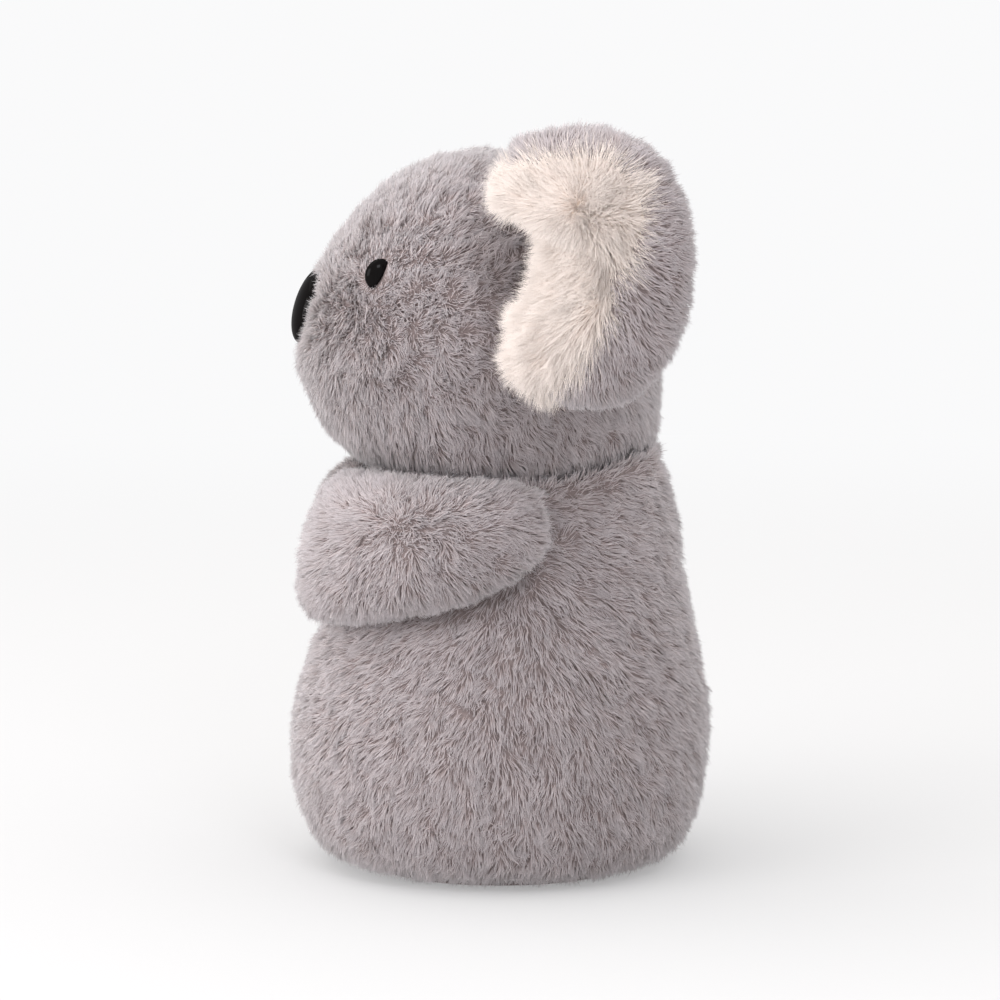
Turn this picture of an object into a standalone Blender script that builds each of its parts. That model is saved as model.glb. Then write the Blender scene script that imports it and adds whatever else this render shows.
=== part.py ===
# A sitting plush koala: sewn fur skins round polyester filling, a pellet bag in the seat,
# a base panel, and snap-in eyes and nose whose shanks pass through the skin into lock washers.
# It faces -Y, its left side is +X, and the origin is on the table under the middle.

import math

import bmesh
import bpy
from mathutils import Matrix, Vector

MM = 0.001

# Body, measured over the fur
BODY_DEPTH = 135 * MM
BODY_WIDTH = 142 * MM
NECK_HEIGHT = 128 * MM
BASE_TURN_UNDER = 9 * MM
BASE_PANEL_THICKNESS = 4 * MM
PELLET_BAG_TOP = 36 * MM
NECK_OPENING_WIDTH = 60 * MM
NECK_OPENING_DEPTH = 54 * MM

# Head, measured over the fur
HEAD_DEPTH = 117 * MM
HEAD_WIDTH = 134 * MM
HEAD_HEIGHT = 98 * MM
HEAD_FORWARD = 7 * MM

# Skins: pile and backing together
SKIN_THICKNESS = 8 * MM
LIMB_SKIN_THICKNESS = 6 * MM

# Arms, laid round the chest
ARM_DROP = 24 * MM
ARM_MIDDLE_HEIGHT = NECK_HEIGHT - ARM_DROP
ARM_THICKNESS = 34 * MM
ARM_TALL = 47 * MM
ARM_STAND_OFF = 6.5 * MM
ARM_CLEARANCE = 0.8 * MM
PAW_GAP = 1 * MM
ARM_START_TURN = math.radians(11)
ARM_END_TURN = math.radians(-88)

# Ears
EAR_WIDTH = 64 * MM
EAR_TALL = 84 * MM
EAR_THICKNESS = 46 * MM
EAR_UP_FROM_NECK = 67.5 * MM
EAR_ROOT_TURN = math.radians(2.5)
EAR_SPLAY = math.radians(47)
EAR_TILT = math.radians(6)
EAR_SEAM_TURN = math.radians(60)
EAR_CLEARANCE = 0.6 * MM
EAR_SEAM_GAP = 0.6 * MM
EAR_FOLD_INSET = 5 * MM
EAR_FOLD_BACK = 7.2 * MM

# Eyes and nose
EYE_WIDTH = 10 * MM
EYE_PROUD = 2.2 * MM
EYE_SUNK = 3.5 * MM
EYE_UP_FROM_NECK = 60.5 * MM
EYE_TURN = math.radians(-40)
NOSE_WIDTH = 22 * MM
NOSE_TALL = 25 * MM
NOSE_PROUD = 2.5 * MM
NOSE_SUNK = 3.5 * MM
NOSE_UP_FROM_NECK = 49 * MM
SHANK_WIDTH = 3.4 * MM
SHANK_PAST_WASHER = 1.5 * MM
CLAMPED_SKIN = 3.7 * MM
WASHER_WIDTH = 13 * MM
WASHER_THICKNESS = 1.2 * MM
WASHER_HUB_WIDTH = 7 * MM
WASHER_HUB_TALL = 1 * MM

# Play between pieces that touch, and how far a cutter runs past what it cuts
FIT = 0.35 * MM
FILLING_FIT = 0.5 * MM
OVERRUN = 6 * MM

# Facets round each form
BODY_SEGMENTS = 28
ARM_SEGMENTS = 18
ARM_RINGS = 13
EAR_SEGMENTS = 22
EAR_BACK_RINGS = 6
EAR_FRONT_RINGS = 4
TURNED_SEGMENTS = 20
DOME_RINGS = 5

# How full an oval's corners are: 2 is an ellipse, more is squarer, less is more pointed
BODY_SQUARENESS = 2.12
FACE_SQUARENESS = 1.85
EAR_SQUARENESS = 2.05

# Levels of the body from the table up: height, half width, reach to the front, reach to the back
BODY_LEVEL_SHARES = (
    (0.000, 0.700, 0.680, 0.690),
    (0.020, 0.800, 0.788, 0.798),
    (0.047, 0.876, 0.866, 0.868),
    (0.094, 0.932, 0.925, 0.922),
    (0.156, 0.976, 0.970, 0.962),
    (0.250, 1.000, 1.000, 0.990),
    (0.344, 1.000, 0.997, 1.000),
    (0.445, 0.972, 0.960, 0.983),
    (0.547, 0.932, 0.893, 0.946),
    (0.648, 0.888, 0.800, 0.905),
    (0.750, 0.840, 0.705, 0.877),
    (0.852, 0.790, 0.655, 0.842),
    (0.938, 0.745, 0.630, 0.785),
    (1.000, 0.690, 0.595, 0.700),
)

# Levels of the head from the neck up: height, half width, reach to the front, reach to the back
HEAD_LEVEL_SHARES = (
    (0.000, 0.690, 0.645, 0.950),
    (0.035, 0.780, 0.745, 0.975),
    (0.085, 0.860, 0.830, 0.988),
    (0.190, 0.950, 0.925, 1.000),
    (0.310, 0.995, 0.995, 1.000),
    (0.400, 1.000, 1.000, 1.000),
    (0.500, 0.985, 0.955, 0.990),
    (0.620, 0.945, 0.865, 0.945),
    (0.710, 0.880, 0.775, 0.870),
    (0.800, 0.780, 0.665, 0.750),
    (0.875, 0.660, 0.535, 0.620),
    (0.935, 0.510, 0.385, 0.465),
    (0.978, 0.310, 0.220, 0.280),
)

# Along an arm from the shoulder to the paw: place, thickness, height, rise of its middle
ARM_SECTION_SHARES = (
    (0.00, 0.30, 0.44, 0.22),
    (0.04, 0.48, 0.57, 0.185),
    (0.10, 0.68, 0.69, 0.15),
    (0.20, 0.88, 0.81, 0.10),
    (0.35, 1.00, 0.90, 0.055),
    (0.55, 1.00, 0.98, 0.015),
    (0.72, 0.92, 1.00, 0.005),
    (0.85, 0.76, 0.93, 0.02),
    (0.93, 0.60, 0.76, 0.045),
    (0.98, 0.46, 0.50, 0.06),
    (1.00, 0.34, 0.32, 0.06),
)
ARM_POLE_SHARE = 0.015
ARM_POLE_OUT_SHARE = 0.4
ARM_OPENING_RINGS = (2, 4)
ARM_OPENING_HALF_SEGMENTS = 2

# Finishes: linear colour, roughness, metallic
FUR_GREY = ("grey_fur", (0.36, 0.31, 0.325), 0.95, 0.0)
FUR_CREAM = ("cream_fur", (0.88, 0.81, 0.75), 0.95, 0.0)
FILLING_WHITE = ("white_filling", (0.85, 0.85, 0.83), 0.95, 0.0)
BAG_CLOTH = ("bag_cloth", (0.62, 0.58, 0.52), 0.9, 0.0)
GLOSS_BLACK = ("black_plastic", (0.012, 0.010, 0.010), 0.08, 0.0)
WASHER_PLASTIC = ("washer_plastic", (0.55, 0.55, 0.55), 0.5, 0.0)

LEFT = 1
RIGHT = -1
UP = Vector((0, 0, 1))
NECK_TOP = NECK_HEIGHT + FIT


class Form:
    """A lofted surface: rings of points in order, with a pole or an open edge at each end."""

    def __init__(self, rings, first_pole=None, last_pole=None):
        self.rings = rings
        self.first_pole = first_pole
        self.last_pole = last_pole

    def points(self):
        flat = [point for ring in self.rings for point in ring]
        return flat + [pole for pole in (self.first_pole, self.last_pole) if pole is not None]

    def faces(self, window=frozenset()):
        """Index loops of the surface, without the cells that a window leaves out."""
        count = len(self.rings[0])
        loops = []
        for level in range(len(self.rings) - 1):
            for step in range(count):
                if (level, step) in window:
                    continue
                near = level * count
                far = near + count
                after = (step + 1) % count
                loops.append((near + step, near + after, far + after, far + step))
        pole = len(self.rings) * count
        if self.first_pole is not None:
            loops += [((step + 1) % count, step, pole) for step in range(count)]
            pole += 1
        if self.last_pole is not None:
            top = (len(self.rings) - 1) * count
            loops += [(top + step, top + (step + 1) % count, pole) for step in range(count)]
        return loops

    def direction(self, level, step):
        """The surface's own normal at one point, across its ring and along the form."""
        ring = self.rings[level]
        here = ring[step]
        before = self.rings[level - 1][step] if level > 0 else self.first_pole or here
        last = level == len(self.rings) - 1
        after = (self.last_pole or here) if last else self.rings[level + 1][step]
        around = ring[(step + 1) % len(ring)] - ring[step - 1]
        return around.cross(after - before).normalized()

    def inset(self, depth, floor, ceiling):
        """The same surface moved inwards by a depth, and held between two heights."""
        rings = []
        for level, ring in enumerate(self.rings):
            moved = [point - self.direction(level, step) * depth for step, point in enumerate(ring)]
            rings.append([Vector((p.x, p.y, min(max(p.z, floor), ceiling))) for p in moved])
        pole = self.last_pole - UP * depth if self.last_pole else None
        return Form(rings, last_pole=pole)


def shares_at(table, place):
    """One row of a table of shares, read between the rows on each side of a place."""
    for low, high in zip(table, table[1:]):
        if place <= high[0]:
            part = max(0, (place - low[0]) / (high[0] - low[0]))
            return [a + (b - a) * part for a, b in zip(low[1:], high[1:])]
    return list(table[-1][1:])


def rounded(value, squareness):
    """A sine or cosine bent so that the oval it draws has fuller corners."""
    return math.copysign(abs(value) ** (2 / squareness), value)


class Level:
    """One oval level of the body or the head, with its own reach to the front and the back."""

    def __init__(self, height, centre_y, half_width, front, back, front_squareness):
        self.front_squareness = front_squareness
        self.height = height
        self.centre_y = centre_y
        self.half_width = half_width
        self.front = front
        self.back = back

    def squareness(self, along):
        return BODY_SQUARENESS if along > 0 else self.front_squareness

    def point(self, turn, outward=0):
        squareness = self.squareness(math.sin(turn))
        along = rounded(math.sin(turn), squareness)
        across = rounded(math.cos(turn), squareness)
        reach = (self.back if along > 0 else self.front) + outward
        return Vector(((self.half_width + outward) * across, self.centre_y + reach * along, self.height))

    def ring(self, outward=0):
        turns = [2 * math.pi * step / BODY_SEGMENTS for step in range(BODY_SEGMENTS)]
        return [self.point(turn, outward) for turn in turns]

    def holds(self, point, clearance):
        """Whether a point lies inside this level grown by a clearance."""
        along = point.y - self.centre_y
        squareness = self.squareness(along)
        along_share = abs(along) / ((self.back if along > 0 else self.front) + clearance)
        across_share = abs(point.x) / (self.half_width + clearance)
        return along_share**squareness + across_share**squareness < 1


def body_level(height):
    width, front, back = shares_at(BODY_LEVEL_SHARES, height / NECK_HEIGHT)
    half_depth = BODY_DEPTH / 2
    half_width = BODY_WIDTH / 2 * width
    return Level(height, 0, half_width, half_depth * front, half_depth * back, BODY_SQUARENESS)


def head_level(height):
    width, front, back = shares_at(HEAD_LEVEL_SHARES, (height - NECK_TOP) / HEAD_HEIGHT)
    half_depth = HEAD_DEPTH / 2
    half_width = HEAD_WIDTH / 2 * width
    middle = -HEAD_FORWARD
    return Level(height, middle, half_width, half_depth * front, half_depth * back, FACE_SQUARENESS)


def neck_ring(height, outward=0):
    """The oval opening where the head's filling meets the body's."""
    reach = NECK_OPENING_DEPTH / 2
    return Level(height, 0, NECK_OPENING_WIDTH / 2, reach, reach, BODY_SQUARENESS).ring(outward)


def raised(ring, rise):
    return [point + UP * rise for point in ring]


def body_form(depth=0):
    """The body's surface, or the same moved inwards, with its openings for the base and the neck."""
    side = Form([body_level(row[0] * NECK_HEIGHT).ring() for row in BODY_LEVEL_SHARES])
    if depth:
        side = side.inset(depth, depth, NECK_HEIGHT - depth)
    base = raised(body_level(0).ring(-BASE_TURN_UNDER), depth)
    return Form([base] + side.rings + [neck_ring(NECK_HEIGHT - depth)])


def head_form(depth=0):
    """The head's surface, or the same moved inwards, with its opening for the neck."""
    crown = Vector((0, -HEAD_FORWARD, NECK_TOP + HEAD_HEIGHT))
    heights = [NECK_TOP + row[0] * HEAD_HEIGHT for row in HEAD_LEVEL_SHARES]
    side = Form([head_level(height).ring() for height in heights], last_pole=crown)
    if depth:
        side = side.inset(depth, NECK_TOP + depth, crown.z - depth)
    return Form([neck_ring(NECK_TOP + depth)] + side.rings, last_pole=side.last_pole)


def arm_turn(along, depth):
    """How far round the body a share of the arm lies; an inner sleeve starts and ends inside."""
    length = (BODY_WIDTH + BODY_DEPTH) / 4 * (ARM_START_TURN - ARM_END_TURN)
    place = depth / length + (1 - 2 * depth / length) * along
    return ARM_START_TURN + (ARM_END_TURN - ARM_START_TURN) * place


def arm_point(side, along, depth, out_share, up_share):
    """A point of the arm: how far it stands off the body, and how far above the arm's middle."""
    thickness, tall, rise = shares_at(ARM_SECTION_SHARES, along)
    stand_off = ARM_STAND_OFF + (ARM_THICKNESS / 2 - depth) * thickness * out_share
    height = ARM_MIDDLE_HEIGHT + ARM_TALL * rise + (ARM_TALL / 2 - depth) * tall * up_share
    place = body_level(height).point(arm_turn(along, depth), max(stand_off, ARM_CLEARANCE + depth))
    return Vector((side * max(place.x, PAW_GAP / 2 + depth), place.y, place.z))


def arm_form(side, depth=0):
    """A sleeve laid round the chest: round outside, and flat against the body inside."""
    rings = []
    turns = [2 * math.pi * step / ARM_SEGMENTS for step in range(ARM_SEGMENTS)]
    for number in range(1, ARM_RINGS + 1):
        along = (1 - math.cos(math.pi * number / (ARM_RINGS + 1))) / 2
        rings.append([arm_point(side, along, depth, math.cos(turn), math.sin(turn)) for turn in turns])
    first = arm_point(side, -ARM_POLE_SHARE, depth, ARM_POLE_OUT_SHARE, 0)
    last = arm_point(side, 1 + ARM_POLE_SHARE, depth, ARM_POLE_OUT_SHARE, 0)
    return Form(rings, first, last)


def arm_window():
    """The cells of the slit in the arm's inner side where it is turned, filled and sewn on."""
    low, high = ARM_OPENING_RINGS
    inside = ARM_SEGMENTS // 2
    steps = range(inside - ARM_OPENING_HALF_SEGMENTS, inside + ARM_OPENING_HALF_SEGMENTS)
    return frozenset((level, step) for level in range(low, high) for step in steps)


def arm_pivot(side):
    rear = body_level(ARM_MIDDLE_HEIGHT).point(ARM_START_TURN, ARM_CLEARANCE)
    return Vector((side * rear.x, rear.y, ARM_MIDDLE_HEIGHT))


def ear_axes(side):
    """The ear's own directions: away from the head, up with its tilt, and out of its cream face."""
    level = Vector((side * math.cos(EAR_SPLAY), math.sin(EAR_SPLAY), 0))
    across = level * math.cos(EAR_TILT) - UP * math.sin(EAR_TILT)
    upward = UP * math.cos(EAR_TILT) + level * math.sin(EAR_TILT)
    facing = Vector((side * math.sin(EAR_SPLAY), -math.cos(EAR_SPLAY), 0))
    return across, upward, facing


def ear_ring(centre, side, over, depth=0):
    """One ring of the ear's pillow shape, at a turn from the middle of its cream face."""
    across, upward, facing = ear_axes(side)
    spread = math.sin(over)
    middle = centre + facing * ((EAR_THICKNESS / 2 - depth) * math.cos(over))
    ring = []
    for step in range(EAR_SEGMENTS):
        turn = 2 * math.pi * step / EAR_SEGMENTS
        wide = (EAR_WIDTH / 2 - depth) * rounded(math.cos(turn), EAR_SQUARENESS) * spread
        tall = (EAR_TALL / 2 - depth) * rounded(math.sin(turn), EAR_SQUARENESS) * spread
        ring.append(middle + across * wide + upward * tall)
    return ring


def ear_turns():
    """Where the ear's rings lie: those of its cream front, then those of its grey back."""
    gap = EAR_SEAM_GAP / EAR_TALL
    front_end = EAR_SEAM_TURN - gap
    back_start = EAR_SEAM_TURN + gap
    front = [front_end * number / EAR_FRONT_RINGS for number in range(1, EAR_FRONT_RINGS + 1)]
    back_step = (math.pi - back_start) / EAR_BACK_RINGS
    return front, [back_start + back_step * number for number in range(EAR_BACK_RINGS)]


def clears_head(points):
    return not any(head_level(point.z).holds(point, EAR_CLEARANCE) for point in points)


def ear_centre(side):
    """The ear slid out along its own width until it just clears the head."""
    across = ear_axes(side)[0]
    root = head_level(NECK_TOP + EAR_UP_FROM_NECK).point(EAR_ROOT_TURN)
    root.x *= side
    front, back = ear_turns()
    near = 0
    far = EAR_WIDTH
    while far - near > FIT / EAR_SEGMENTS:
        centre = root + across * (near + far) / 2
        if clears_head([point for turn in front + back for point in ear_ring(centre, side, turn)]):
            far = (near + far) / 2
        else:
            near = (near + far) / 2
    return root + across * far


def ear_form(side, turns, depth, front_pole, back_pole):
    """The part of the ear's pillow at some of its rings, closed over the poles it is given."""
    centre = ear_centre(side)
    reach = ear_axes(side)[2] * (EAR_THICKNESS / 2 - depth)
    rings = [ear_ring(centre, side, turn, depth) for turn in turns]
    return Form(rings, centre + reach if front_pole else None, centre - reach if back_pole else None)


def ear_pivot(side):
    """The line the ear folds about: inside its sewn edge, towards the back of its thickness."""
    across, upward, facing = ear_axes(side)
    return ear_centre(side) - across * (EAR_WIDTH / 2 - EAR_FOLD_INSET) - facing * EAR_FOLD_BACK


def surface_frame(height, turn):
    """A frame on the head's fur: local Z points straight out of it, local Y leans up."""
    step = FIT
    here = head_level(height).point(turn)
    above = head_level(height + step).point(turn)
    beside = head_level(height).point(turn + step / HEAD_DEPTH)
    outward = (beside - here).cross(above - here).normalized()
    sideways = UP.cross(outward).normalized()
    upward = outward.cross(sideways)
    turned = Matrix((sideways, upward, outward)).transposed().to_4x4()
    return Matrix.Translation(here) @ turned


def turned_form(profile, frame):
    """A turned shape from radius, height and width share; its ends may be on the axis."""
    rings = []
    poles = {0: None, len(profile) - 1: None}
    for number, (radius, height, width_share) in enumerate(profile):
        if radius == 0:
            poles[number] = frame @ Vector((0, 0, height))
            continue
        ring = []
        for step in range(TURNED_SEGMENTS):
            turn = 2 * math.pi * step / TURNED_SEGMENTS
            spot = Vector((width_share * radius * math.cos(turn), radius * math.sin(turn), height))
            ring.append(frame @ spot)
        rings.append(ring)
    return Form(rings, poles[0], poles[len(profile) - 1])


class Fixing:
    """A snap-in eye or nose: a dome and shank outside, a washer inside, and what is cut for them."""

    def __init__(self, frame, tall, wide, proud, sunk):
        self.frame = frame
        self.radius = tall / 2
        self.width_share = wide / tall
        self.proud = proud
        self.sunk = sunk
        self.seat = -(sunk + FIT + CLAMPED_SKIN)
        self.washer_foot = self.seat - FIT - WASHER_THICKNESS
        self.hub_foot = self.washer_foot - WASHER_HUB_TALL
        self.shank_foot = self.hub_foot - SHANK_PAST_WASHER

    def dome(self):
        """An oval dome on a round shank."""
        shank = SHANK_WIDTH / 2
        tall = self.proud + self.sunk
        profile = [(0, self.shank_foot, 1), (shank, self.shank_foot, 1), (shank, -self.sunk, 1)]
        for step in range(DOME_RINGS):
            turn = math.pi / 2 * step / DOME_RINGS
            height = tall * math.sin(turn) - self.sunk
            profile.append((self.radius * math.cos(turn), height, self.width_share))
        profile.append((0, self.proud, 1))
        return turned_form(profile, self.frame)

    def washer(self):
        bore = SHANK_WIDTH / 2 + FIT
        top = self.seat - FIT
        profile = [
            (bore, top, 1),
            (bore, self.hub_foot, 1),
            (WASHER_HUB_WIDTH / 2, self.hub_foot, 1),
            (WASHER_HUB_WIDTH / 2, self.washer_foot, 1),
            (WASHER_WIDTH / 2, self.washer_foot, 1),
            (WASHER_WIDTH / 2, top, 1),
        ]
        return turned_form(profile, self.frame)

    def cutter(self):
        """What the skin and the filling lose: a recess, the shank's hole and the washer's pocket."""
        recess = -self.sunk - FIT
        pocket = WASHER_WIDTH / 2 + FIT
        foot = self.shank_foot - FIT
        hole = SHANK_WIDTH / 2 + FIT
        wide = self.radius + FIT / self.width_share
        mouth = self.proud + OVERRUN
        profile = [(0, foot, 1), (pocket, foot, 1), (pocket, self.seat, 1)]
        profile += [(hole, self.seat, 1), (hole, recess, 1), (wide, recess, self.width_share)]
        profile += [(wide, mouth, self.width_share), (0, mouth, 1)]
        return turned_form(profile, self.frame)


def remove_everything():
    for thing in list(bpy.data.objects):
        bpy.data.objects.remove(thing, do_unlink=True)


def finish_material(finish):
    name, colour, roughness, metallic = finish
    made = bpy.data.materials.new(name)
    made.use_nodes = True
    shader = made.node_tree.nodes["Principled BSDF"]
    shader.inputs["Base Color"].default_value = (*colour, 1)
    shader.inputs["Roughness"].default_value = roughness
    shader.inputs["Metallic"].default_value = metallic
    made.diffuse_color = (*colour, 1)
    return made


def pivot_empty(name, place, parent=None):
    """An empty on a joint's axis, which what moves there hangs from."""
    empty = bpy.data.objects.new(name, None)
    bpy.context.collection.objects.link(empty)
    empty.parent = parent
    empty.location = place - (parent.matrix_world.translation if parent else Vector())
    bpy.context.view_layer.update()
    return empty


def add_piece(name, bm, finish, pivot=None):
    """Turns finished mesh data into a named object whose origin is on its joint's axis."""
    bmesh.ops.recalc_face_normals(bm, faces=bm.faces)
    place = pivot.matrix_world.translation if pivot else Vector()
    bmesh.ops.translate(bm, verts=bm.verts, vec=-place)
    mesh = bpy.data.meshes.new(name)
    bm.to_mesh(mesh)
    bm.free()
    mesh.shade_smooth()
    mesh.set_sharp_from_angle(angle=math.radians(40))
    mesh.materials.append(finish_material(finish))
    piece = bpy.data.objects.new(name, mesh)
    bpy.context.collection.objects.link(piece)
    piece.parent = pivot
    return piece


def hollow_mesh(outer, inner, window=frozenset()):
    """A wall between an outer surface and an inner one, with a rim round each opening."""
    bm = bmesh.new()
    outside = [bm.verts.new(point) for point in outer.points()]
    inside = [bm.verts.new(point) for point in inner.points()]
    loops = outer.faces(window)
    edges = {(a, b) for loop in loops for a, b in zip(loop, loop[1:] + loop[:1])}
    for loop in loops:
        bm.faces.new([outside[index] for index in loop])
        bm.faces.new([inside[index] for index in reversed(loop)])
    for a, b in sorted(edges):
        if (b, a) not in edges:
            bm.faces.new((outside[b], outside[a], inside[a], inside[b]))
    loose = [vert for vert in bm.verts if not vert.link_faces]
    bmesh.ops.delete(bm, geom=loose, context="VERTS")
    return bm


def solid_mesh(form):
    """A closed solid: the surface, with a flat cap over each end that has no pole."""
    bm = bmesh.new()
    verts = [bm.verts.new(point) for point in form.points()]
    for loop in form.faces():
        bm.faces.new([verts[index] for index in loop])
    count = len(form.rings[0])
    if form.first_pole is None:
        bm.faces.new(verts[:count][::-1])
    if form.last_pole is None:
        top = (len(form.rings) - 1) * count
        bm.faces.new(verts[top : top + count])
    return bm


def ring_mesh(form):
    """A closed band, such as a washer, whose last ring joins its first."""
    bm = bmesh.new()
    verts = [[bm.verts.new(point) for point in ring] for ring in form.rings]
    count = len(verts[0])
    for near, far in zip(verts, verts[1:] + verts[:1]):
        for step in range(count):
            after = (step + 1) % count
            bm.faces.new((near[step], near[after], far[after], far[step]))
    return bm


def cut_level(bm, height, keep_above):
    """Cuts a closed solid at a height and closes the cut with one flat face."""
    bmesh.ops.bisect_plane(
        bm,
        geom=bm.verts[:] + bm.edges[:] + bm.faces[:],
        plane_co=(0, 0, height),
        plane_no=UP,
        clear_inner=keep_above,
        clear_outer=not keep_above,
    )
    open_edges = [edge for edge in bm.edges if edge.is_boundary]
    bmesh.ops.holes_fill(bm, edges=open_edges)
    return bm


def cut_by(piece, cutter):
    """Cuts a piece with another solid, exactly."""
    cut = piece.modifiers.new(cutter.name, "BOOLEAN")
    cut.operation = "DIFFERENCE"
    cut.solver = "EXACT"
    cut.object = cutter


def add_cutter(name, bm, pivot):
    cutter = add_piece(name, bm, WASHER_PLASTIC, pivot)
    cutter.hide_render = True
    cutter.display_type = "WIRE"
    return cutter


def body_filling_form():
    """The room inside the body's skin, from the base panel up through the neck's opening."""
    inner = body_form(SKIN_THICKNESS + FILLING_FIT)
    hole = body_level(0).ring(-BASE_TURN_UNDER - FILLING_FIT)
    base = raised(hole, BASE_PANEL_THICKNESS + FILLING_FIT)
    lower = raised(hole, SKIN_THICKNESS + FILLING_FIT)
    neck_foot = neck_ring(NECK_HEIGHT - SKIN_THICKNESS - FILLING_FIT, -FILLING_FIT)
    return Form([base, lower] + inner.rings[1:-1] + [neck_foot, neck_ring(NECK_HEIGHT, -FILLING_FIT)])


def head_filling_form():
    """The room inside the head's skin, down to the neck's opening."""
    depth = SKIN_THICKNESS + FILLING_FIT
    inner = head_form(depth)
    neck = [neck_ring(NECK_TOP, -FILLING_FIT), neck_ring(NECK_TOP + depth, -FILLING_FIT)]
    return Form(neck + inner.rings[1:], last_pole=inner.last_pole)


def make_body():
    add_piece("body_skin", hollow_mesh(body_form(), body_form(SKIN_THICKNESS)), FUR_GREY)
    outline = body_level(0).ring(-BASE_TURN_UNDER - FIT)
    panel = Form([outline, raised(outline, BASE_PANEL_THICKNESS)])
    add_piece("base_panel", solid_mesh(panel), FUR_GREY)
    bag = cut_level(solid_mesh(body_filling_form()), PELLET_BAG_TOP, keep_above=False)
    add_piece("pellet_bag", bag, BAG_CLOTH)
    filling = cut_level(solid_mesh(body_filling_form()), PELLET_BAG_TOP + FILLING_FIT, keep_above=True)
    add_piece("body_filling", filling, FILLING_WHITE)


def make_fixing(name, washer_name, fixing, pivot, cut_pieces):
    add_piece(name, solid_mesh(fixing.dome()), GLOSS_BLACK, pivot)
    add_piece(washer_name, ring_mesh(fixing.washer()), WASHER_PLASTIC, pivot)
    cutter = add_cutter(name + "_cutter", solid_mesh(fixing.cutter()), pivot)
    for piece in cut_pieces:
        cut_by(piece, cutter)


def make_head():
    pivot = pivot_empty("head_pivot", Vector((0, 0, NECK_TOP)))
    skin = add_piece("head_skin", hollow_mesh(head_form(), head_form(SKIN_THICKNESS)), FUR_GREY, pivot)
    filling = add_piece("head_filling", solid_mesh(head_filling_form()), FILLING_WHITE, pivot)
    cut_pieces = (skin, filling)
    for side, word in ((LEFT, "left"), (RIGHT, "right")):
        turn = EYE_TURN if side == LEFT else math.pi - EYE_TURN
        frame = surface_frame(NECK_TOP + EYE_UP_FROM_NECK, turn)
        eye = Fixing(frame, EYE_WIDTH, EYE_WIDTH, EYE_PROUD, EYE_SUNK)
        make_fixing("eye_" + word, "eye_washer_" + word, eye, pivot, cut_pieces)
    frame = surface_frame(NECK_TOP + NOSE_UP_FROM_NECK, -math.pi / 2)
    nose = Fixing(frame, NOSE_TALL, NOSE_WIDTH, NOSE_PROUD, NOSE_SUNK)
    make_fixing("nose", "nose_washer", nose, pivot, cut_pieces)
    return pivot


def make_ear(side, word, head_pivot):
    """A cream front and a grey back sewn together round their edge, and the filling between."""
    pivot = pivot_empty("ear_pivot_" + word, ear_pivot(side), head_pivot)
    front, back = ear_turns()
    panels = (("ear_front_", front, FUR_CREAM, True, False), ("ear_back_", back, FUR_GREY, False, True))
    for name, turns, finish, has_front, has_back in panels:
        outer = ear_form(side, turns, 0, has_front, has_back)
        inner = ear_form(side, turns, LIMB_SKIN_THICKNESS, has_front, has_back)
        add_piece(name + word, hollow_mesh(outer, inner), finish, pivot)
    filling = ear_form(side, front + back, LIMB_SKIN_THICKNESS + FILLING_FIT, True, True)
    add_piece("ear_filling_" + word, solid_mesh(filling), FILLING_WHITE, pivot)


def make_arm(side, word):
    """A closed sleeve with a slit on its inner side, and the filling inside it."""
    pivot = pivot_empty("arm_pivot_" + word, arm_pivot(side))
    skin = hollow_mesh(arm_form(side), arm_form(side, LIMB_SKIN_THICKNESS), arm_window())
    add_piece("arm_skin_" + word, skin, FUR_GREY, pivot)
    filling = solid_mesh(arm_form(side, LIMB_SKIN_THICKNESS + FILLING_FIT))
    add_piece("arm_filling_" + word, filling, FILLING_WHITE, pivot)


def main():
    remove_everything()
    make_body()
    head_pivot = make_head()
    for side, word in ((LEFT, "left"), (RIGHT, "right")):
        make_ear(side, word, head_pivot)
        make_arm(side, word)


main()
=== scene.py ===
# %% [markdown]
# A plush koala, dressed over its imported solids
# The solids give every place and size. This lesson covers them with what the real toy shows:
# a long soft pile on a knitted backing, glossy snap-in eyes and nose, and a sewn base.

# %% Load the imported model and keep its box
import math

import bpy
import numpy as np
from mathutils import Matrix, Vector
from mathutils.kdtree import KDTree


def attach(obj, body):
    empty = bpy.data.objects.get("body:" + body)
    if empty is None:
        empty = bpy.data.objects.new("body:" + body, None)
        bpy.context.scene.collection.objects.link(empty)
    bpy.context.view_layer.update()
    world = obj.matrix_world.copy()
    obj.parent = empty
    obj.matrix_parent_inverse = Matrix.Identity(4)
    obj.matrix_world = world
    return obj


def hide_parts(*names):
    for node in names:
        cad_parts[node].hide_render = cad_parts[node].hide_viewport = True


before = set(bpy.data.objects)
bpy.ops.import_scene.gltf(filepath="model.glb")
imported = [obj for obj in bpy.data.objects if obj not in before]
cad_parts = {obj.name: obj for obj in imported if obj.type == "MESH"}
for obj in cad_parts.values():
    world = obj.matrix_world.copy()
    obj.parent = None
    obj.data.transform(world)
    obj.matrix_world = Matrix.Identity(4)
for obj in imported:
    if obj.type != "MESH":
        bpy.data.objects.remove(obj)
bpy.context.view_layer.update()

# %% [markdown]
# Sizes
# A few driving sizes, in metres, are the same as the solids'. Everything else follows them.

# %% Driving sizes
MM = 0.001
BODY_DEPTH = 135 * MM
BODY_WIDTH = 142 * MM
NECK_HEIGHT = 128 * MM
HEAD_DEPTH = 117 * MM
HEAD_WIDTH = 134 * MM
HEAD_HEIGHT = 98 * MM
HEAD_FORWARD = 7 * MM
NECK_TOP = NECK_HEIGHT + 0.35 * MM
BODY_SQUARENESS = 2.12
FACE_SQUARENESS = 1.85
LEFT = 1
RIGHT = -1
SIDES = {"left": LEFT, "right": RIGHT}
print("height to the crown, mm:", round((NECK_TOP + HEAD_HEIGHT) / MM, 1))

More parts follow.
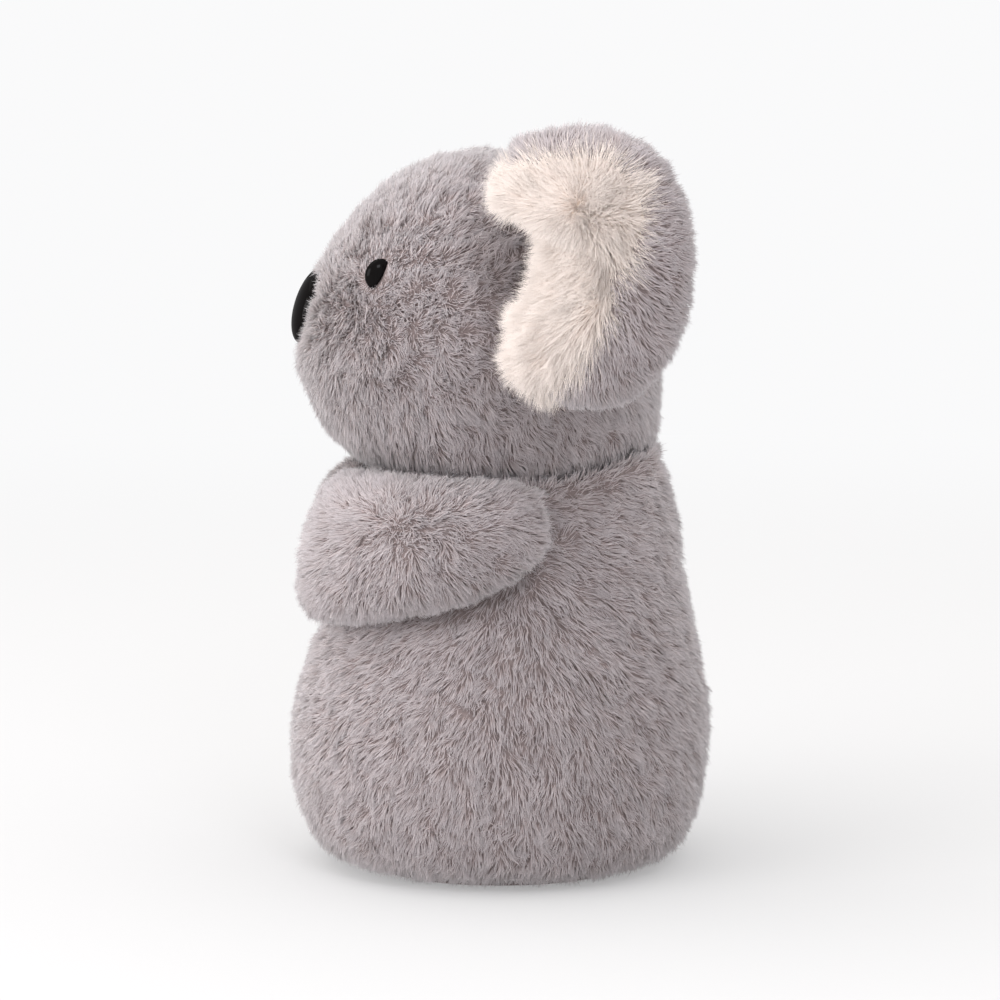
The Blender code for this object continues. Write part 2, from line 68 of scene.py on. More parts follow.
# %% [markdown]
# The camera comes first
# A toy this small is photographed from about a metre with a long lens, level with its middle.
# The camera looks along -X at the left side and a little down, so that the face points left.

# %% Camera
VIEW_DISTANCE = 1.05
VIEW_ELEVATION = math.radians(6)
VIEW_WIDTH = 317.5 * MM
VIEW_MIDDLE = Vector((0, 0, 114.5 * MM))
SENSOR = 36

back = Vector((math.cos(VIEW_ELEVATION), 0, math.sin(VIEW_ELEVATION)))
camera_data = bpy.data.cameras.new("camera")
camera_data.sensor_width = SENSOR
camera_data.lens = SENSOR * VIEW_DISTANCE / VIEW_WIDTH
camera = bpy.data.objects.new("camera", camera_data)
bpy.context.scene.collection.objects.link(camera)
camera.location = VIEW_MIDDLE + back * VIEW_DISTANCE
camera.rotation_euler = (-back).to_track_quat("-Z", "Y").to_euler()
bpy.context.scene.camera = camera
bpy.context.scene.view_settings.view_transform = "Standard"
print("lens, mm:", round(camera_data.lens, 1))

# %% [markdown]
# The sky
# Soft light from all round, a little stronger from above the toy's front, stands in for a white
# studio. Rays that only look at the sky, straight or in a gloss, get one plain pale tone, so that
# the backdrop stays even whatever the light does.

# %% Sky
SKY_SHOWN = (0.955, 0.955, 0.96, 1)
SKY_LIGHT = (1.0, 0.985, 0.975, 1)
SKY_STRENGTH = (1.0, 1.5)
SKY_BRIGHT_WAY = (0, -0.6, 0.8)

world = bpy.data.worlds.new("sky")
bpy.context.scene.world = world
world.use_nodes = True
sky = world.node_tree
sky.nodes.clear()
sky_light = sky.nodes.new("ShaderNodeBackground")
sky_light.inputs["Color"].default_value = SKY_LIGHT
sky_shown = sky.nodes.new("ShaderNodeBackground")
sky_shown.inputs["Color"].default_value = SKY_SHOWN
sky_place = sky.nodes.new("ShaderNodeTexCoord")
sky_turn = sky.nodes.new("ShaderNodeVectorMath")
sky_turn.operation = "DOT_PRODUCT"
sky_turn.inputs[1].default_value = SKY_BRIGHT_WAY
sky_level = sky.nodes.new("ShaderNodeMapRange")
sky_level.inputs["From Min"].default_value = 0
sky_level.inputs["To Min"].default_value = SKY_STRENGTH[0]
sky_level.inputs["To Max"].default_value = SKY_STRENGTH[1]
sky_rays = sky.nodes.new("ShaderNodeLightPath")
looking = sky_rays.outputs["Is Camera Ray"]
for ray in ("Is Transmission Ray", "Is Glossy Ray"):
    either = sky.nodes.new("ShaderNodeMath")
    either.operation = "MAXIMUM"
    sky.links.new(looking, either.inputs[0])
    sky.links.new(sky_rays.outputs[ray], either.inputs[1])
    looking = either.outputs[0]
sky_mix = sky.nodes.new("ShaderNodeMixShader")
sky_out = sky.nodes.new("ShaderNodeOutputWorld")
sky.links.new(sky_place.outputs["Generated"], sky_turn.inputs[0])
sky.links.new(sky_turn.outputs["Value"], sky_level.inputs["Value"])
sky.links.new(sky_level.outputs[0], sky_light.inputs["Strength"])
sky.links.new(looking, sky_mix.inputs[0])
sky.links.new(sky_light.outputs[0], sky_mix.inputs[1])
sky.links.new(sky_shown.outputs[0], sky_mix.inputs[2])
sky.links.new(sky_mix.outputs[0], sky_out.inputs["Surface"])
print("sky strength:", SKY_STRENGTH)

# %% [markdown]
# The lamps
# Three square lamps give the toy its form: a large one overhead, a strong one low at its front,
# and a small one on the camera's side that picks out the ear.

# %% Lamps: place, point it looks at, size, watts, colour
LAMPS = {
    "top_lamp": ((-0.1, -0.6, 1.35), (0, 0, 0.1), 1.1, 3.2, (1, 0.985, 0.985)),
    "near_lamp": ((0.8, -1.05, 0.4), (0, 0, 0.12), 0.8, 8.5, (1, 0.985, 0.985)),
    "side_lamp": ((0.95, 0.25, 0.7), (0.04, -0.05, 0.19), 0.3, 2.4, (0.93, 0.95, 1)),
}


def soft_lamp(name, place, aim, size, watts, colour):
    """A square lamp that looks at a point."""
    data = bpy.data.lights.new(name, "AREA")
    data.shape = "SQUARE"
    data.size = size
    data.energy = watts
    data.color = colour
    lamp = bpy.data.objects.new(name, data)
    bpy.context.scene.collection.objects.link(lamp)
    lamp.location = place
    lamp.rotation_euler = (Vector(aim) - Vector(place)).to_track_quat("-Z", "Y").to_euler()


for name, values in LAMPS.items():
    soft_lamp(name, *values)
print("lamps:", ", ".join(LAMPS))

# %% [markdown]
# The floor
# A wide pale disc. It gives off a little light of its own near the toy, and more with distance,
# until it has the sky's tone at its edge. So no horizon shows, as on a roll of studio paper.

# %% Floor
FLOOR_RADIUS = 3.0
FLOOR_COLOUR = (0.649, 0.649, 0.652, 1)
FLOOR_FADE = (0.35, 1.6)
FLOOR_GLOW = 0.35

bpy.ops.object.select_all(action="DESELECT")
bpy.ops.mesh.primitive_circle_add(vertices=64, radius=FLOOR_RADIUS, fill_type="NGON", location=(0, 0, 0))
floor = bpy.context.object
floor.name = "floor"
pale_floor = bpy.data.materials.new("pale_floor")
floor.data.materials.append(pale_floor)
pale_floor.use_nodes = True
tree = pale_floor.node_tree
tree.nodes.clear()
floor_paint = tree.nodes.new("ShaderNodeBsdfDiffuse")
floor_paint.inputs["Color"].default_value = FLOOR_COLOUR
floor_glow = tree.nodes.new("ShaderNodeEmission")
floor_glow.inputs["Color"].default_value = SKY_SHOWN
floor_place = tree.nodes.new("ShaderNodeTexCoord")
floor_length = tree.nodes.new("ShaderNodeVectorMath")
floor_length.operation = "LENGTH"
floor_fade = tree.nodes.new("ShaderNodeMapRange")
floor_fade.interpolation_type = "SMOOTHSTEP"
floor_fade.inputs["From Min"].default_value = FLOOR_FADE[0]
floor_fade.inputs["From Max"].default_value = FLOOR_FADE[1]
floor_fade.inputs["To Min"].default_value = FLOOR_GLOW
floor_mix = tree.nodes.new("ShaderNodeMixShader")
floor_out = tree.nodes.new("ShaderNodeOutputMaterial")
tree.links.new(floor_place.outputs["Object"], floor_length.inputs[0])
tree.links.new(floor_length.outputs["Value"], floor_fade.inputs["Value"])
tree.links.new(floor_fade.outputs[0], floor_mix.inputs[0])
tree.links.new(floor_paint.outputs[0], floor_mix.inputs[1])
tree.links.new(floor_glow.outputs[0], floor_mix.inputs[2])
tree.links.new(floor_mix.outputs[0], floor_out.inputs["Surface"])
print("floor radius, m:", FLOOR_RADIUS)

# %% [markdown]
# The stuffed shapes
# Each stuffed part is a ball at heart. A sphere is added, and every vertex is pulled out to
# the part's own outline: ovals at each level for the body and the head, a sleeve laid round
# the chest for an arm, a pillow for an ear.

# %% Outlines: share of the height, share of the half width, of the reach to the front, to the back
BODY_LEVELS = np.array((
    (0.000, 0.700, 0.680, 0.690),
    (0.020, 0.800, 0.788, 0.798),
    (0.047, 0.876, 0.866, 0.868),
    (0.094, 0.932, 0.925, 0.922),
    (0.156, 0.976, 0.970, 0.962),
    (0.250, 1.000, 1.000, 0.990),
    (0.344, 1.000, 0.997, 1.000),
    (0.445, 0.972, 0.960, 0.983),
    (0.547, 0.932, 0.893, 0.946),
    (0.648, 0.888, 0.800, 0.905),
    (0.750, 0.840, 0.705, 0.877),
    (0.852, 0.810, 0.655, 0.848),
    (0.938, 0.800, 0.635, 0.800),
    (1.000, 0.780, 0.610, 0.755),
))
HEAD_LEVELS = np.array((
    (0.000, 0.800, 0.650, 0.955),
    (0.035, 0.845, 0.745, 0.978),
    (0.085, 0.878, 0.830, 0.988),
    (0.190, 0.950, 0.925, 1.000),
    (0.310, 0.995, 0.995, 1.000),
    (0.400, 1.000, 1.000, 1.000),
    (0.500, 0.985, 0.955, 0.990),
    (0.620, 0.945, 0.890, 0.945),
    (0.710, 0.880, 0.785, 0.870),
    (0.800, 0.780, 0.665, 0.750),
    (0.875, 0.660, 0.535, 0.620),
    (0.935, 0.510, 0.385, 0.465),
    (0.978, 0.310, 0.220, 0.280),
    (1.000, 0.000, 0.000, 0.000),
))


def unit(vectors):
    return vectors / np.maximum(np.linalg.norm(vectors, axis=1), 1e-9)[:, None]


def eased(share):
    """A share from 0 to 1 that starts and ends softly."""
    return share * share * (3 - 2 * share)


def rounded(value, squareness):
    """A sine or cosine bent so that the oval it draws has fuller corners."""
    return np.copysign(np.abs(value) ** (2 / squareness), value)


def at_share(table, share):
    """The three values of a table at a share of its way."""
    return (np.interp(share, table[:, 0], table[:, column]) for column in (1, 2, 3))


def outline(levels, share, half_width, half_depth, middle, front_squareness, turn, outward=0):
    """The points of an oval level: across, along."""
    width, front, rear = at_share(levels, share)
    behind = np.sin(turn) > 0
    squareness = np.where(behind, BODY_SQUARENESS, front_squareness)
    reach = half_depth * np.where(behind, rear, front) + outward
    across = (half_width * width + outward) * rounded(np.cos(turn), squareness)
    return across, middle + reach * rounded(np.sin(turn), squareness)


def body_outline(height, turn, outward=0):
    share = height / NECK_HEIGHT
    return outline(BODY_LEVELS, share, BODY_WIDTH / 2, BODY_DEPTH / 2, 0, BODY_SQUARENESS, turn, outward)


def head_outline(height, turn):
    share = (height - NECK_TOP) / HEAD_HEIGHT
    return outline(HEAD_LEVELS, share, HEAD_WIDTH / 2, HEAD_DEPTH / 2, -HEAD_FORWARD, FACE_SQUARENESS, turn)


print("levels:", len(BODY_LEVELS), "of the body,", len(HEAD_LEVELS), "of the head")

# %% [markdown]
# Body and head
# The body stands on a flat base and closes in under the head. The crease between them isn't
# level: it sags a little at the side and rises at the back. The face is drawn in round the nose
# and beside it, as thread and filling do on a real one.

# %% Body and head: hollows of the face as middle, size and depth
HEAD_MIDDLE_SHARE = 0.45
HEAD_MIDDLE = np.array((0, -HEAD_FORWARD, NECK_TOP + HEAD_MIDDLE_SHARE * HEAD_HEIGHT))
HOLLOWS = (
    (np.array((0, -63, 176)) * MM, np.array((16, 12, 12)) * MM, 3.8 * MM),
    (np.array((33, -52, 181)) * MM, np.array((9, 9, 8)) * MM, 0.8 * MM),
)
NECK_RISE = 5.5 * MM
NECK_RISE_FROM = 18 * MM
NECK_RISE_RUN = 34 * MM
NECK_SAG = 2 * MM
NECK_SAG_AT = 8 * MM
NECK_SAG_RUN = 18 * MM
NECK_FADE = 26 * MM


def neck_shift(along, height):
    """How far the neck's crease lies above or below level: lower at the side, higher at the back."""
    rising = np.clip((along - NECK_RISE_FROM) / NECK_RISE_RUN, 0, 1)
    sagging = NECK_SAG * np.exp(-((along - NECK_SAG_AT) / NECK_SAG_RUN) ** 2)
    near = np.clip(1 - np.abs(height - NECK_HEIGHT) / NECK_FADE, 0, 1)
    return (NECK_RISE * eased(rising) - sagging) * near


def body_place(over, turn):
    """From the middle of the base, round its edge, up the side and in under the head."""
    share = 1 - over / math.pi
    height = np.interp(share, (0, 0.14, 0.9, 1), (0, 0, NECK_HEIGHT, NECK_HEIGHT))
    spread = np.interp(share, (0, 0.12, 0.14, 0.9, 1), (0, 0.84, 1, 1, 0))
    across, along = body_outline(height, turn)
    points = np.stack((across * spread, along * spread, height), 1)
    points[:, 2] += neck_shift(points[:, 1], height)
    return points


def face_hollows(points):
    """How deep the face is drawn in round the nose and between the nose and each eye."""
    near = np.abs(points) * (1, 0, 0) + points * (0, 1, 1)
    depth = np.zeros(len(points))
    for middle, size, deep in HOLLOWS:
        depth = np.maximum(depth, deep * np.exp(-(np.linalg.norm((near - middle) / size, axis=1) ** 2)))
    return depth


def head_place(over, turn):
    """From under the chin, up the face and over the crown."""
    share = 1 - over / math.pi
    rise = np.interp(share, (0.1, 1), (0, 1))
    height = NECK_TOP + HEAD_HEIGHT * np.sin(rise * math.pi / 2)
    spread = np.interp(share, (0, 0.1, 1), (0, 1, 1))
    across, along = head_outline(height, turn)
    points = np.stack((across * spread, -HEAD_FORWARD + (along + HEAD_FORWARD) * spread, height), 1)
    points[:, 2] += neck_shift(points[:, 1], height)
    return points - unit(points - HEAD_MIDDLE) * face_hollows(points)[:, None]


# %% [markdown]
# Arms
# Each arm is a stuffed sleeve, sewn on at the shoulder and laid round the chest to its paw. It
# follows the body's own outline at every height, so that it lies against the chest all the way,
# and a short table of sections makes it thick in the middle and round at both ends.

# %% Arms: share of the way, of the thickness, of the height, and how far the middle rises
ARM_MIDDLE_HEIGHT = NECK_HEIGHT - 24 * MM
ARM_THICKNESS = 34 * MM
ARM_TALL = 47 * MM
ARM_STAND_OFF = 6.5 * MM
ARM_CLEARANCE = 0.8 * MM
PAW_GAP = 1 * MM
ARM_START_TURN = math.radians(11)
ARM_END_TURN = math.radians(-88)
ARM_REACH = 0.515
ARM_SECTIONS = np.array((
    (-0.015, 0.00, 0.00, 0.22),
    (0.00, 0.30, 0.44, 0.22),
    (0.04, 0.48, 0.57, 0.185),
    (0.10, 0.68, 0.69, 0.15),
    (0.20, 0.88, 0.81, 0.10),
    (0.35, 1.00, 0.90, 0.055),
    (0.55, 1.00, 0.98, 0.015),
    (0.72, 0.92, 1.00, 0.005),
    (0.85, 0.76, 0.93, 0.02),
    (0.93, 0.60, 0.76, 0.045),
    (0.98, 0.46, 0.50, 0.06),
    (1.00, 0.34, 0.32, 0.06),
    (1.015, 0.00, 0.00, 0.06),
))


def arm_place(over, turn, side):
    """A sleeve from the shoulder round to the paw, flat against the body on its inner side."""
    along = 0.5 - ARM_REACH * np.cos(over)
    thickness, tall, rise = at_share(ARM_SECTIONS, along)
    stand_off = ARM_STAND_OFF + ARM_THICKNESS / 2 * thickness * np.cos(turn)
    height = ARM_MIDDLE_HEIGHT + ARM_TALL * rise + ARM_TALL / 2 * tall * np.sin(turn)
    round_body = ARM_START_TURN + (ARM_END_TURN - ARM_START_TURN) * along
    across, forward = body_outline(height, round_body, np.maximum(stand_off, ARM_CLEARANCE))
    return np.stack((side * np.maximum(across, PAW_GAP / 2), forward, height), 1)


# %% [markdown]
# Ears
# Each ear is a round pillow with a cream front and a grey back, sewn on by its inner edge and
# turned half to the front. It is a flattened sphere whose poles are the middles of the two
# cloths. Its face is pushed forward or back level by level, which gives the fold that comes
# forward at the top and the hollow under it.

# %% Ears: the face's shift and the top's lean, as height over the middle and way back
EAR_WIDTH = 65 * MM
EAR_TALL = 83 * MM
EAR_THICKNESS = 46 * MM
EAR_SPLAY = math.radians(47)
EAR_TILT = math.radians(6)
EAR_SQUARENESS = 2.12
EAR_CENTRE = (88.9 * MM, 27.6 * MM, 191.1 * MM)
EAR_FACE_SHIFT = np.array((
    (-41, -5), (-37, -4.5), (-30, -3), (-24, 0), (-18.6, 3), (-10.5, 8), (-3, 11), (6, 10.8),
    (9, 6.8), (11.5, 2), (14, -3), (22, -6.5), (30, -6.5), (36, -8), (41, -5))) * MM
EAR_TOP_LEAN = np.array(((0, 0), (24, 0), (33, -1.8), (38, -2.8), (42, -3.8))) * MM
EAR_TOP_FROM = 26 * MM
EAR_TOP_RUN = 14 * MM
EAR_TOP_WIDER = 0.24
EAR_FACE_FROM = 4 * MM
EAR_FACE_RUN = 26 * MM
EAR_ROOT_REACH = 8 * MM
EAR_ROOT_WIDE = 14 * MM
EAR_ROOT_TALL = 26 * MM


def ear_axes(side):
    """Away from the head, up with the ear's tilt, and out of its cream face."""
    level = np.array((side * math.cos(EAR_SPLAY), math.sin(EAR_SPLAY), 0))
    upright = np.array((0, 0, 1))
    across = level * math.cos(EAR_TILT) - upright * math.sin(EAR_TILT)
    upward = upright * math.cos(EAR_TILT) + level * math.sin(EAR_TILT)
    facing = np.array((side * math.sin(EAR_SPLAY), -math.cos(EAR_SPLAY), 0))
    return across, upward, facing


def ear_centre(side):
    return np.array(EAR_CENTRE) * (side, 1, 1)


def ear_place(over, turn, side):
    """A pillow, hollow in the middle of its face, whose inner edge reaches into the head."""
    across, upward, facing = ear_axes(side)
    wide = EAR_WIDTH / 2 * rounded(np.cos(turn), EAR_SQUARENESS) * np.sin(over)
    tall = EAR_TALL / 2 * rounded(np.sin(turn), EAR_SQUARENESS) * np.sin(over)
    deep = EAR_THICKNESS / 2 * np.cos(over)
    wide = wide * (1 + EAR_TOP_WIDER * eased(np.clip((tall - EAR_TOP_FROM) / EAR_TOP_RUN, 0, 1)))
    inner = np.exp(-(((wide + EAR_WIDTH / 2) / EAR_ROOT_WIDE) ** 2) - (tall / EAR_ROOT_TALL) ** 4)
    away = np.outer(wide, across) + np.outer(deep, facing) + np.outer(tall, upward)
    share = np.clip((EAR_FACE_FROM - away[:, 1]) / EAR_FACE_RUN, 0, 1)
    shift = np.interp(tall, EAR_FACE_SHIFT[:, 0], EAR_FACE_SHIFT[:, 1])
    lean = np.interp(tall, EAR_TOP_LEAN[:, 0], EAR_TOP_LEAN[:, 1])
    away[:, 1] += shift * eased(share) + lean
    away[:, 0] -= side * EAR_ROOT_REACH * inner
    return ear_centre(side) + away


# %% [markdown]
# From a sphere to a stuffed part
# Modelling by hand, with a subdivided cube or with sculpting, would also give these soft shapes.
# Here the sphere's vertices are placed by the outlines above, because the fur asks the same
# outlines for its places later, and because a change of a size then changes everything.

# %% Pull a sphere out to a stuffed part's outline
BALL_DETAIL = {"body": (192, 128), "head": (112, 76), "arm": (56, 72), "ear": (72, 48)}


def vertex_places(mesh):
    places = np.empty(len(mesh.vertices) * 3, np.float32)
    mesh.vertices.foreach_get("co", places)
    return places.reshape(-1, 3).astype(float)


def vertex_normals(mesh):
    normals = np.empty(len(mesh.vertices) * 3, np.float32)
    mesh.vertex_normals.foreach_get("vector", normals)
    return normals.reshape(-1, 3).astype(float)


def shaped_ball(name, place, segments, rings):
    """A sphere whose vertices are moved to place(angle from the upper pole, turn round the poles)."""
    bpy.ops.object.select_all(action="DESELECT")
    bpy.ops.mesh.primitive_uv_sphere_add(segments=segments, ring_count=rings, radius=1, location=(0, 0, 0))
    ball = bpy.context.object
    ball.name = name
    ball.data.name = name
    points = vertex_places(ball.data)
    over = np.arccos(np.clip(points[:, 2], -1, 1))
    turn = np.arctan2(points[:, 1], points[:, 0])
    ball.data.vertices.foreach_set("co", place(over, turn).astype(np.float32).ravel())
    ball.data.update()
    bpy.ops.object.mode_set(mode="EDIT")
    bpy.ops.mesh.select_all(action="SELECT")
    bpy.ops.mesh.normals_make_consistent(inside=False)
    bpy.ops.object.mode_set(mode="OBJECT")
    bpy.ops.object.shade_smooth()
    return ball


def sunk_in(ball, depth, pressed=None):
    """Moves a stuffed part's cloth inwards from the pile's outside."""
    points = vertex_places(ball.data)
    if pressed:
        depth = depth + pressed(points)[:, None]
    points = points - vertex_normals(ball.data) * depth
    ball.data.vertices.foreach_set("co", points.astype(np.float32).ravel())
    ball.data.update()


body_ball = shaped_ball("body_backing", body_place, *BALL_DETAIL["body"])
head_ball = shaped_ball("head_backing", head_place, *BALL_DETAIL["head"])
arm_balls = {}
ear_balls = {}
for word, side in SIDES.items():
    arm_balls[word] = shaped_ball(
        f"arm_backing_{word}", lambda over, turn: arm_place(over, turn, side), *BALL_DETAIL["arm"])
    ear_balls[word] = shaped_ball(
        f"ear_backing_{word}", lambda over, turn: ear_place(over, turn, side), *BALL_DETAIL["ear"])
print("stuffed parts:", 2 + len(arm_balls) + len(ear_balls))

# %% [markdown]
# The pile
# Plush fur is thousands of fine fibres that stand in a knitted backing, lean the way they were
# brushed, and gather in small pointed tufts. A bump texture would give neither the soft outline
# nor the dark gaps. Hair curves would, but they stay hair, so each fibre here is a small mesh.
# Number arrays build them, because hundreds of thousands of fibres can't be placed by hand.

# %% Soft random fields, the same on every run
def wave_field(points, size, seed, count=14):
    """A smooth field, mostly from -1 to 1, that varies over about one size."""
    random = np.random.default_rng(seed)
    waves = random.normal(size=(count, 3))
    steepness = (2 * math.pi / size) * random.uniform(0.5, 1.1, (count, 1))
    waves *= steepness / np.linalg.norm(waves, axis=1)[:, None]
    phases = random.uniform(0, 2 * math.pi, count)
    return np.sin(points @ waves.T + phases).sum(1) / math.sqrt(count)


def unevenness(points, deep, size, seed):
    """A soft unevenness, from nothing to about twice a depth."""
    return deep * (1 + wave_field(points, size, seed))


def rows(points, step, wobble, size, seed):
    """Level rows that waver, as values from 0 to 1."""
    phase = 2 * math.pi * points[:, 2] / step + wobble * wave_field(points, size, seed)
    return (1 + np.sin(phase)) / 2


# %% [markdown]
# Where fibres stand
# A particle system would scatter them too. Choosing triangles by their area, and a place in
# each, takes a few lines, gives the same places on every run, and lets hidden cloth stay thin.

# %% Where fibres are rooted
def scattered(ball, count, kept, seed):
    """Points spread by area over a ball, as thickly as kept(points) says, with their normals."""
    mesh = ball.data
    mesh.calc_loop_triangles()
    corners = np.empty(len(mesh.loop_triangles) * 3, np.int32)
    mesh.loop_triangles.foreach_get("vertices", corners)
    corners = corners.reshape(-1, 3)
    # A new sphere has its faces in another order on every run, so they are sorted before the draws.
    corners = corners[np.lexsort(corners.T[::-1])]
    points = vertex_places(mesh)
    normals = vertex_normals(mesh)
    first, second, third = (points[corners[:, column]] for column in (0, 1, 2))
    areas = np.linalg.norm(np.cross(second - first, third - first), axis=1) / 2
    areas = areas * kept((first + second + third) / 3)
    random = np.random.default_rng(seed)
    chosen = random.choice(len(corners), count, p=areas / areas.sum())
    shares = random.dirichlet((1, 1, 1), count)
    places = sum(points[corners[chosen, column]] * shares[:, column, None] for column in (0, 1, 2))
    facing = sum(normals[corners[chosen, column]] * shares[:, column, None] for column in (0, 1, 2))
    return places, unit(facing), areas.sum()


# %% [markdown]
# One fibre, repeated
# The smallest closed body is enough for a fibre: three corners round its root and one at its
# tip. Its shading is bent towards the cloth's own, because light that falls on fur spreads from
# fibre to fibre, and the whole pile shades as one soft surface.

# %% A mesh of many fibres
SKIN_SHARE = 0.9
FIBRE_SEED = 2
FIBRE_FACES = np.array(((0, 1, 3), (1, 2, 3), (2, 0, 3), (2, 1, 0)))
FIBRE_REACH = np.array((0, 0, 0, 1))
CELL_ACROSS = np.array((0.1, 0.5, 0.9, 0.5))
CELL_UPWARD = np.array((0.1, 0.05, 0.1, 0.85))


def add_cells(mesh, count):
    """A map in which every fibre has a small cell of its own, root below and tip above."""
    side = math.ceil(math.sqrt(count))
    cells = np.empty((count, FIBRE_FACES.size, 2), np.float32)
    cells[:, :, 0] = (np.arange(count)[:, None] % side + CELL_ACROSS[FIBRE_FACES].ravel()) / side
    cells[:, :, 1] = (np.arange(count)[:, None] // side + CELL_UPWARD[FIBRE_FACES].ravel()) / side
    mesh.uv_layers.new(name="OFBake").data.foreach_set("uv", cells.ravel())


def fibre_mesh(name, roots, tips, radius, outward, shade, finish):
    """Closed cones from roots to tips, each with its cloth's outward way and a shade of its own."""
    count = len(roots)
    corners = len(FIBRE_REACH)
    random = np.random.default_rng(FIBRE_SEED)
    along = unit(tips - roots)
    aside = unit(np.cross(along, random.normal(size=(count, 3))))
    above = np.cross(along, aside)
    verts = np.empty((count, corners, 3))
    facing = np.empty((count, corners, 3))
    verts[:, -1] = tips
    facing[:, -1] = outward
    for corner in range(3):
        turn = 2 * math.pi * corner / 3
        away = aside * math.cos(turn) + above * math.sin(turn)
        verts[:, corner] = roots + away * radius[:, None]
        facing[:, corner] = unit(SKIN_SHARE * outward + (1 - SKIN_SHARE) * away)
    loops = (np.arange(count)[:, None, None] * corners + FIBRE_FACES[None]).ravel()
    mesh = bpy.data.meshes.new(name)
    mesh.vertices.add(count * corners)
    mesh.vertices.foreach_set("co", verts.astype(np.float32).ravel())
    mesh.loops.add(len(loops))
    mesh.loops.foreach_set("vertex_index", loops.astype(np.int32))
    mesh.polygons.add(len(loops) // 3)
    mesh.polygons.foreach_set("loop_start", np.arange(0, len(loops), 3, dtype=np.int32))
    mesh.update(calc_edges=True)
    for label, values in (("reach", np.tile(FIBRE_REACH, count)), ("shade", np.repeat(shade, corners))):
        mesh.attributes.new(label, "FLOAT", "POINT").data.foreach_set("value", values.astype(np.float32))
    add_cells(mesh, count)
    mesh.shade_smooth()
    mesh.normals_split_custom_set_from_vertices(facing.reshape(-1, 3).tolist())
    mesh.materials.append(finish)
    piece = bpy.data.objects.new(name, mesh)
    bpy.context.scene.collection.objects.link(piece)
    return piece


# %% [markdown]
# Brush and gather
# Each fibre leans the way a comb function says, a little astray, and its length varies. Then
# the tips close up towards the middle of the nearest tuft, which opens the dark gaps between
# tufts that real plush shows.

# %% Brush and gather: limits as shares of a length, and how much things vary
LENGTH_LIMITS = (0.25, 1.35)
RISE_LIMITS = (0.15, 0.8)
RISE_SWELL = 0.6
RADIUS_LEAST = 0.75
RADIUS_MORE = 0.5
HOLD_VARIES = 0.2
HOLD_MOST = 0.95


def leaned(points, normals, comb, pile, seed, random):
    """Roots and tips of fibres that lean the way they are brushed."""
    count = len(points)
    brushed, length_share = comb(points, normals)
    wander = [wave_field(points, pile["wander_size"], seed + axis) for axis in (2, 3, 4)]
    brushed = brushed + pile["wander"] * np.stack(wander, 1)
    brushed = brushed + pile["stray"] * random.normal(size=(count, 3))
    level = brushed - normals * (brushed * normals).sum(1)[:, None]
    swell = wave_field(points, pile["tuft_size"], seed + 5) * pile["swell"]
    length = pile["length"] * length_share * (1 + swell + pile["uneven"] * random.normal(size=count))
    length = np.clip(length, pile["length"] * LENGTH_LIMITS[0], pile["length"] * LENGTH_LIMITS[1])
    thicker = 1 + RISE_SWELL * swell + pile["uneven"] * random.normal(size=count)
    rise = np.clip(pile["depth"] * length_share * thicker, RISE_LIMITS[0] * length, RISE_LIMITS[1] * length)
    lean = np.sqrt(length**2 - rise**2) * np.clip(np.linalg.norm(level, axis=1), 0, 1)
    roots = points - normals * pile["depth"]
    return roots, roots + normals * rise[:, None] + unit(level) * lean[:, None]


def gathered(points, tips, pile, random):
    """The tips closed up towards the nearest tuft's middle, and the number of that middle."""
    count = len(points)
    middles = random.choice(count, int(count / pile["gathered"]), replace=False)
    tree = KDTree(len(middles))
    for number, middle in enumerate(middles):
        tree.insert(points[middle], number)
    tree.balance()
    nearest = middles[[tree.find(point)[1] for point in points]]
    hold = np.clip(pile["gather"] + HOLD_VARIES * random.normal(size=count), 0, HOLD_MOST)
    return tips + (tips[nearest] - tips) * hold[:, None], nearest


# %% Grow a panel of fur: how far tufts, single fibres and patches differ in shade
TUFT_SHADE = 0.5
SHADE_VARIES = 0.22
PATCH_VARIES = 0.12
PATCH_SIZE = 14 * MM


def grown_pile(name, ball, count, kept, comb, pile, finish, seed, bare=None, pressed=None):
    """A panel of fur on part of a ball. comb(points, normals) gives the way it is brushed."""
    points, normals, area = scattered(ball, count, kept, seed)
    if pressed:
        points = points - normals * pressed(points)[:, None]
    if bare:
        grown = bare(points)
        points, normals = points[grown], normals[grown]
        count = len(points)
    random = np.random.default_rng(seed + 1)
    roots, tips = leaned(points, normals, comb, pile, seed, random)
    tips, nearest = gathered(points, tips, pile, random)
    radius = pile["radius"] * (RADIUS_LEAST + RADIUS_MORE * random.random(count))
    shade = TUFT_SHADE * random.normal(size=count)[nearest] + (1 - TUFT_SHADE) * random.normal(size=count)
    shade = 0.5 + SHADE_VARIES * shade + PATCH_VARIES * wave_field(points, PATCH_SIZE, seed + 6)
    outward = unit(normals + pile["soften"] * normals.mean(0))
    piece = fibre_mesh(name, roots, tips, radius, outward, np.clip(shade, 0, 1), finish)
    print(name, "fibres", count, "area cm2", round(area * 1e4), "triangles", len(piece.data.polygons))
    return piece


# %% [markdown]
# Kinds of pile
# The grey pile is short and dense, the ears' grey back a little smoother, and the cream pile of
# the ears long and fine. length runs along a fibre and depth straight out of the cloth. wander
# and stray turn the brushing, over wander_size and fibre by fibre. swell thickens the pile in
# patches of tuft_size, and uneven varies each fibre. Every gathered-th fibre heads a tuft, and
# gather says how far the others close up to it. soften evens out the shading of long pile.

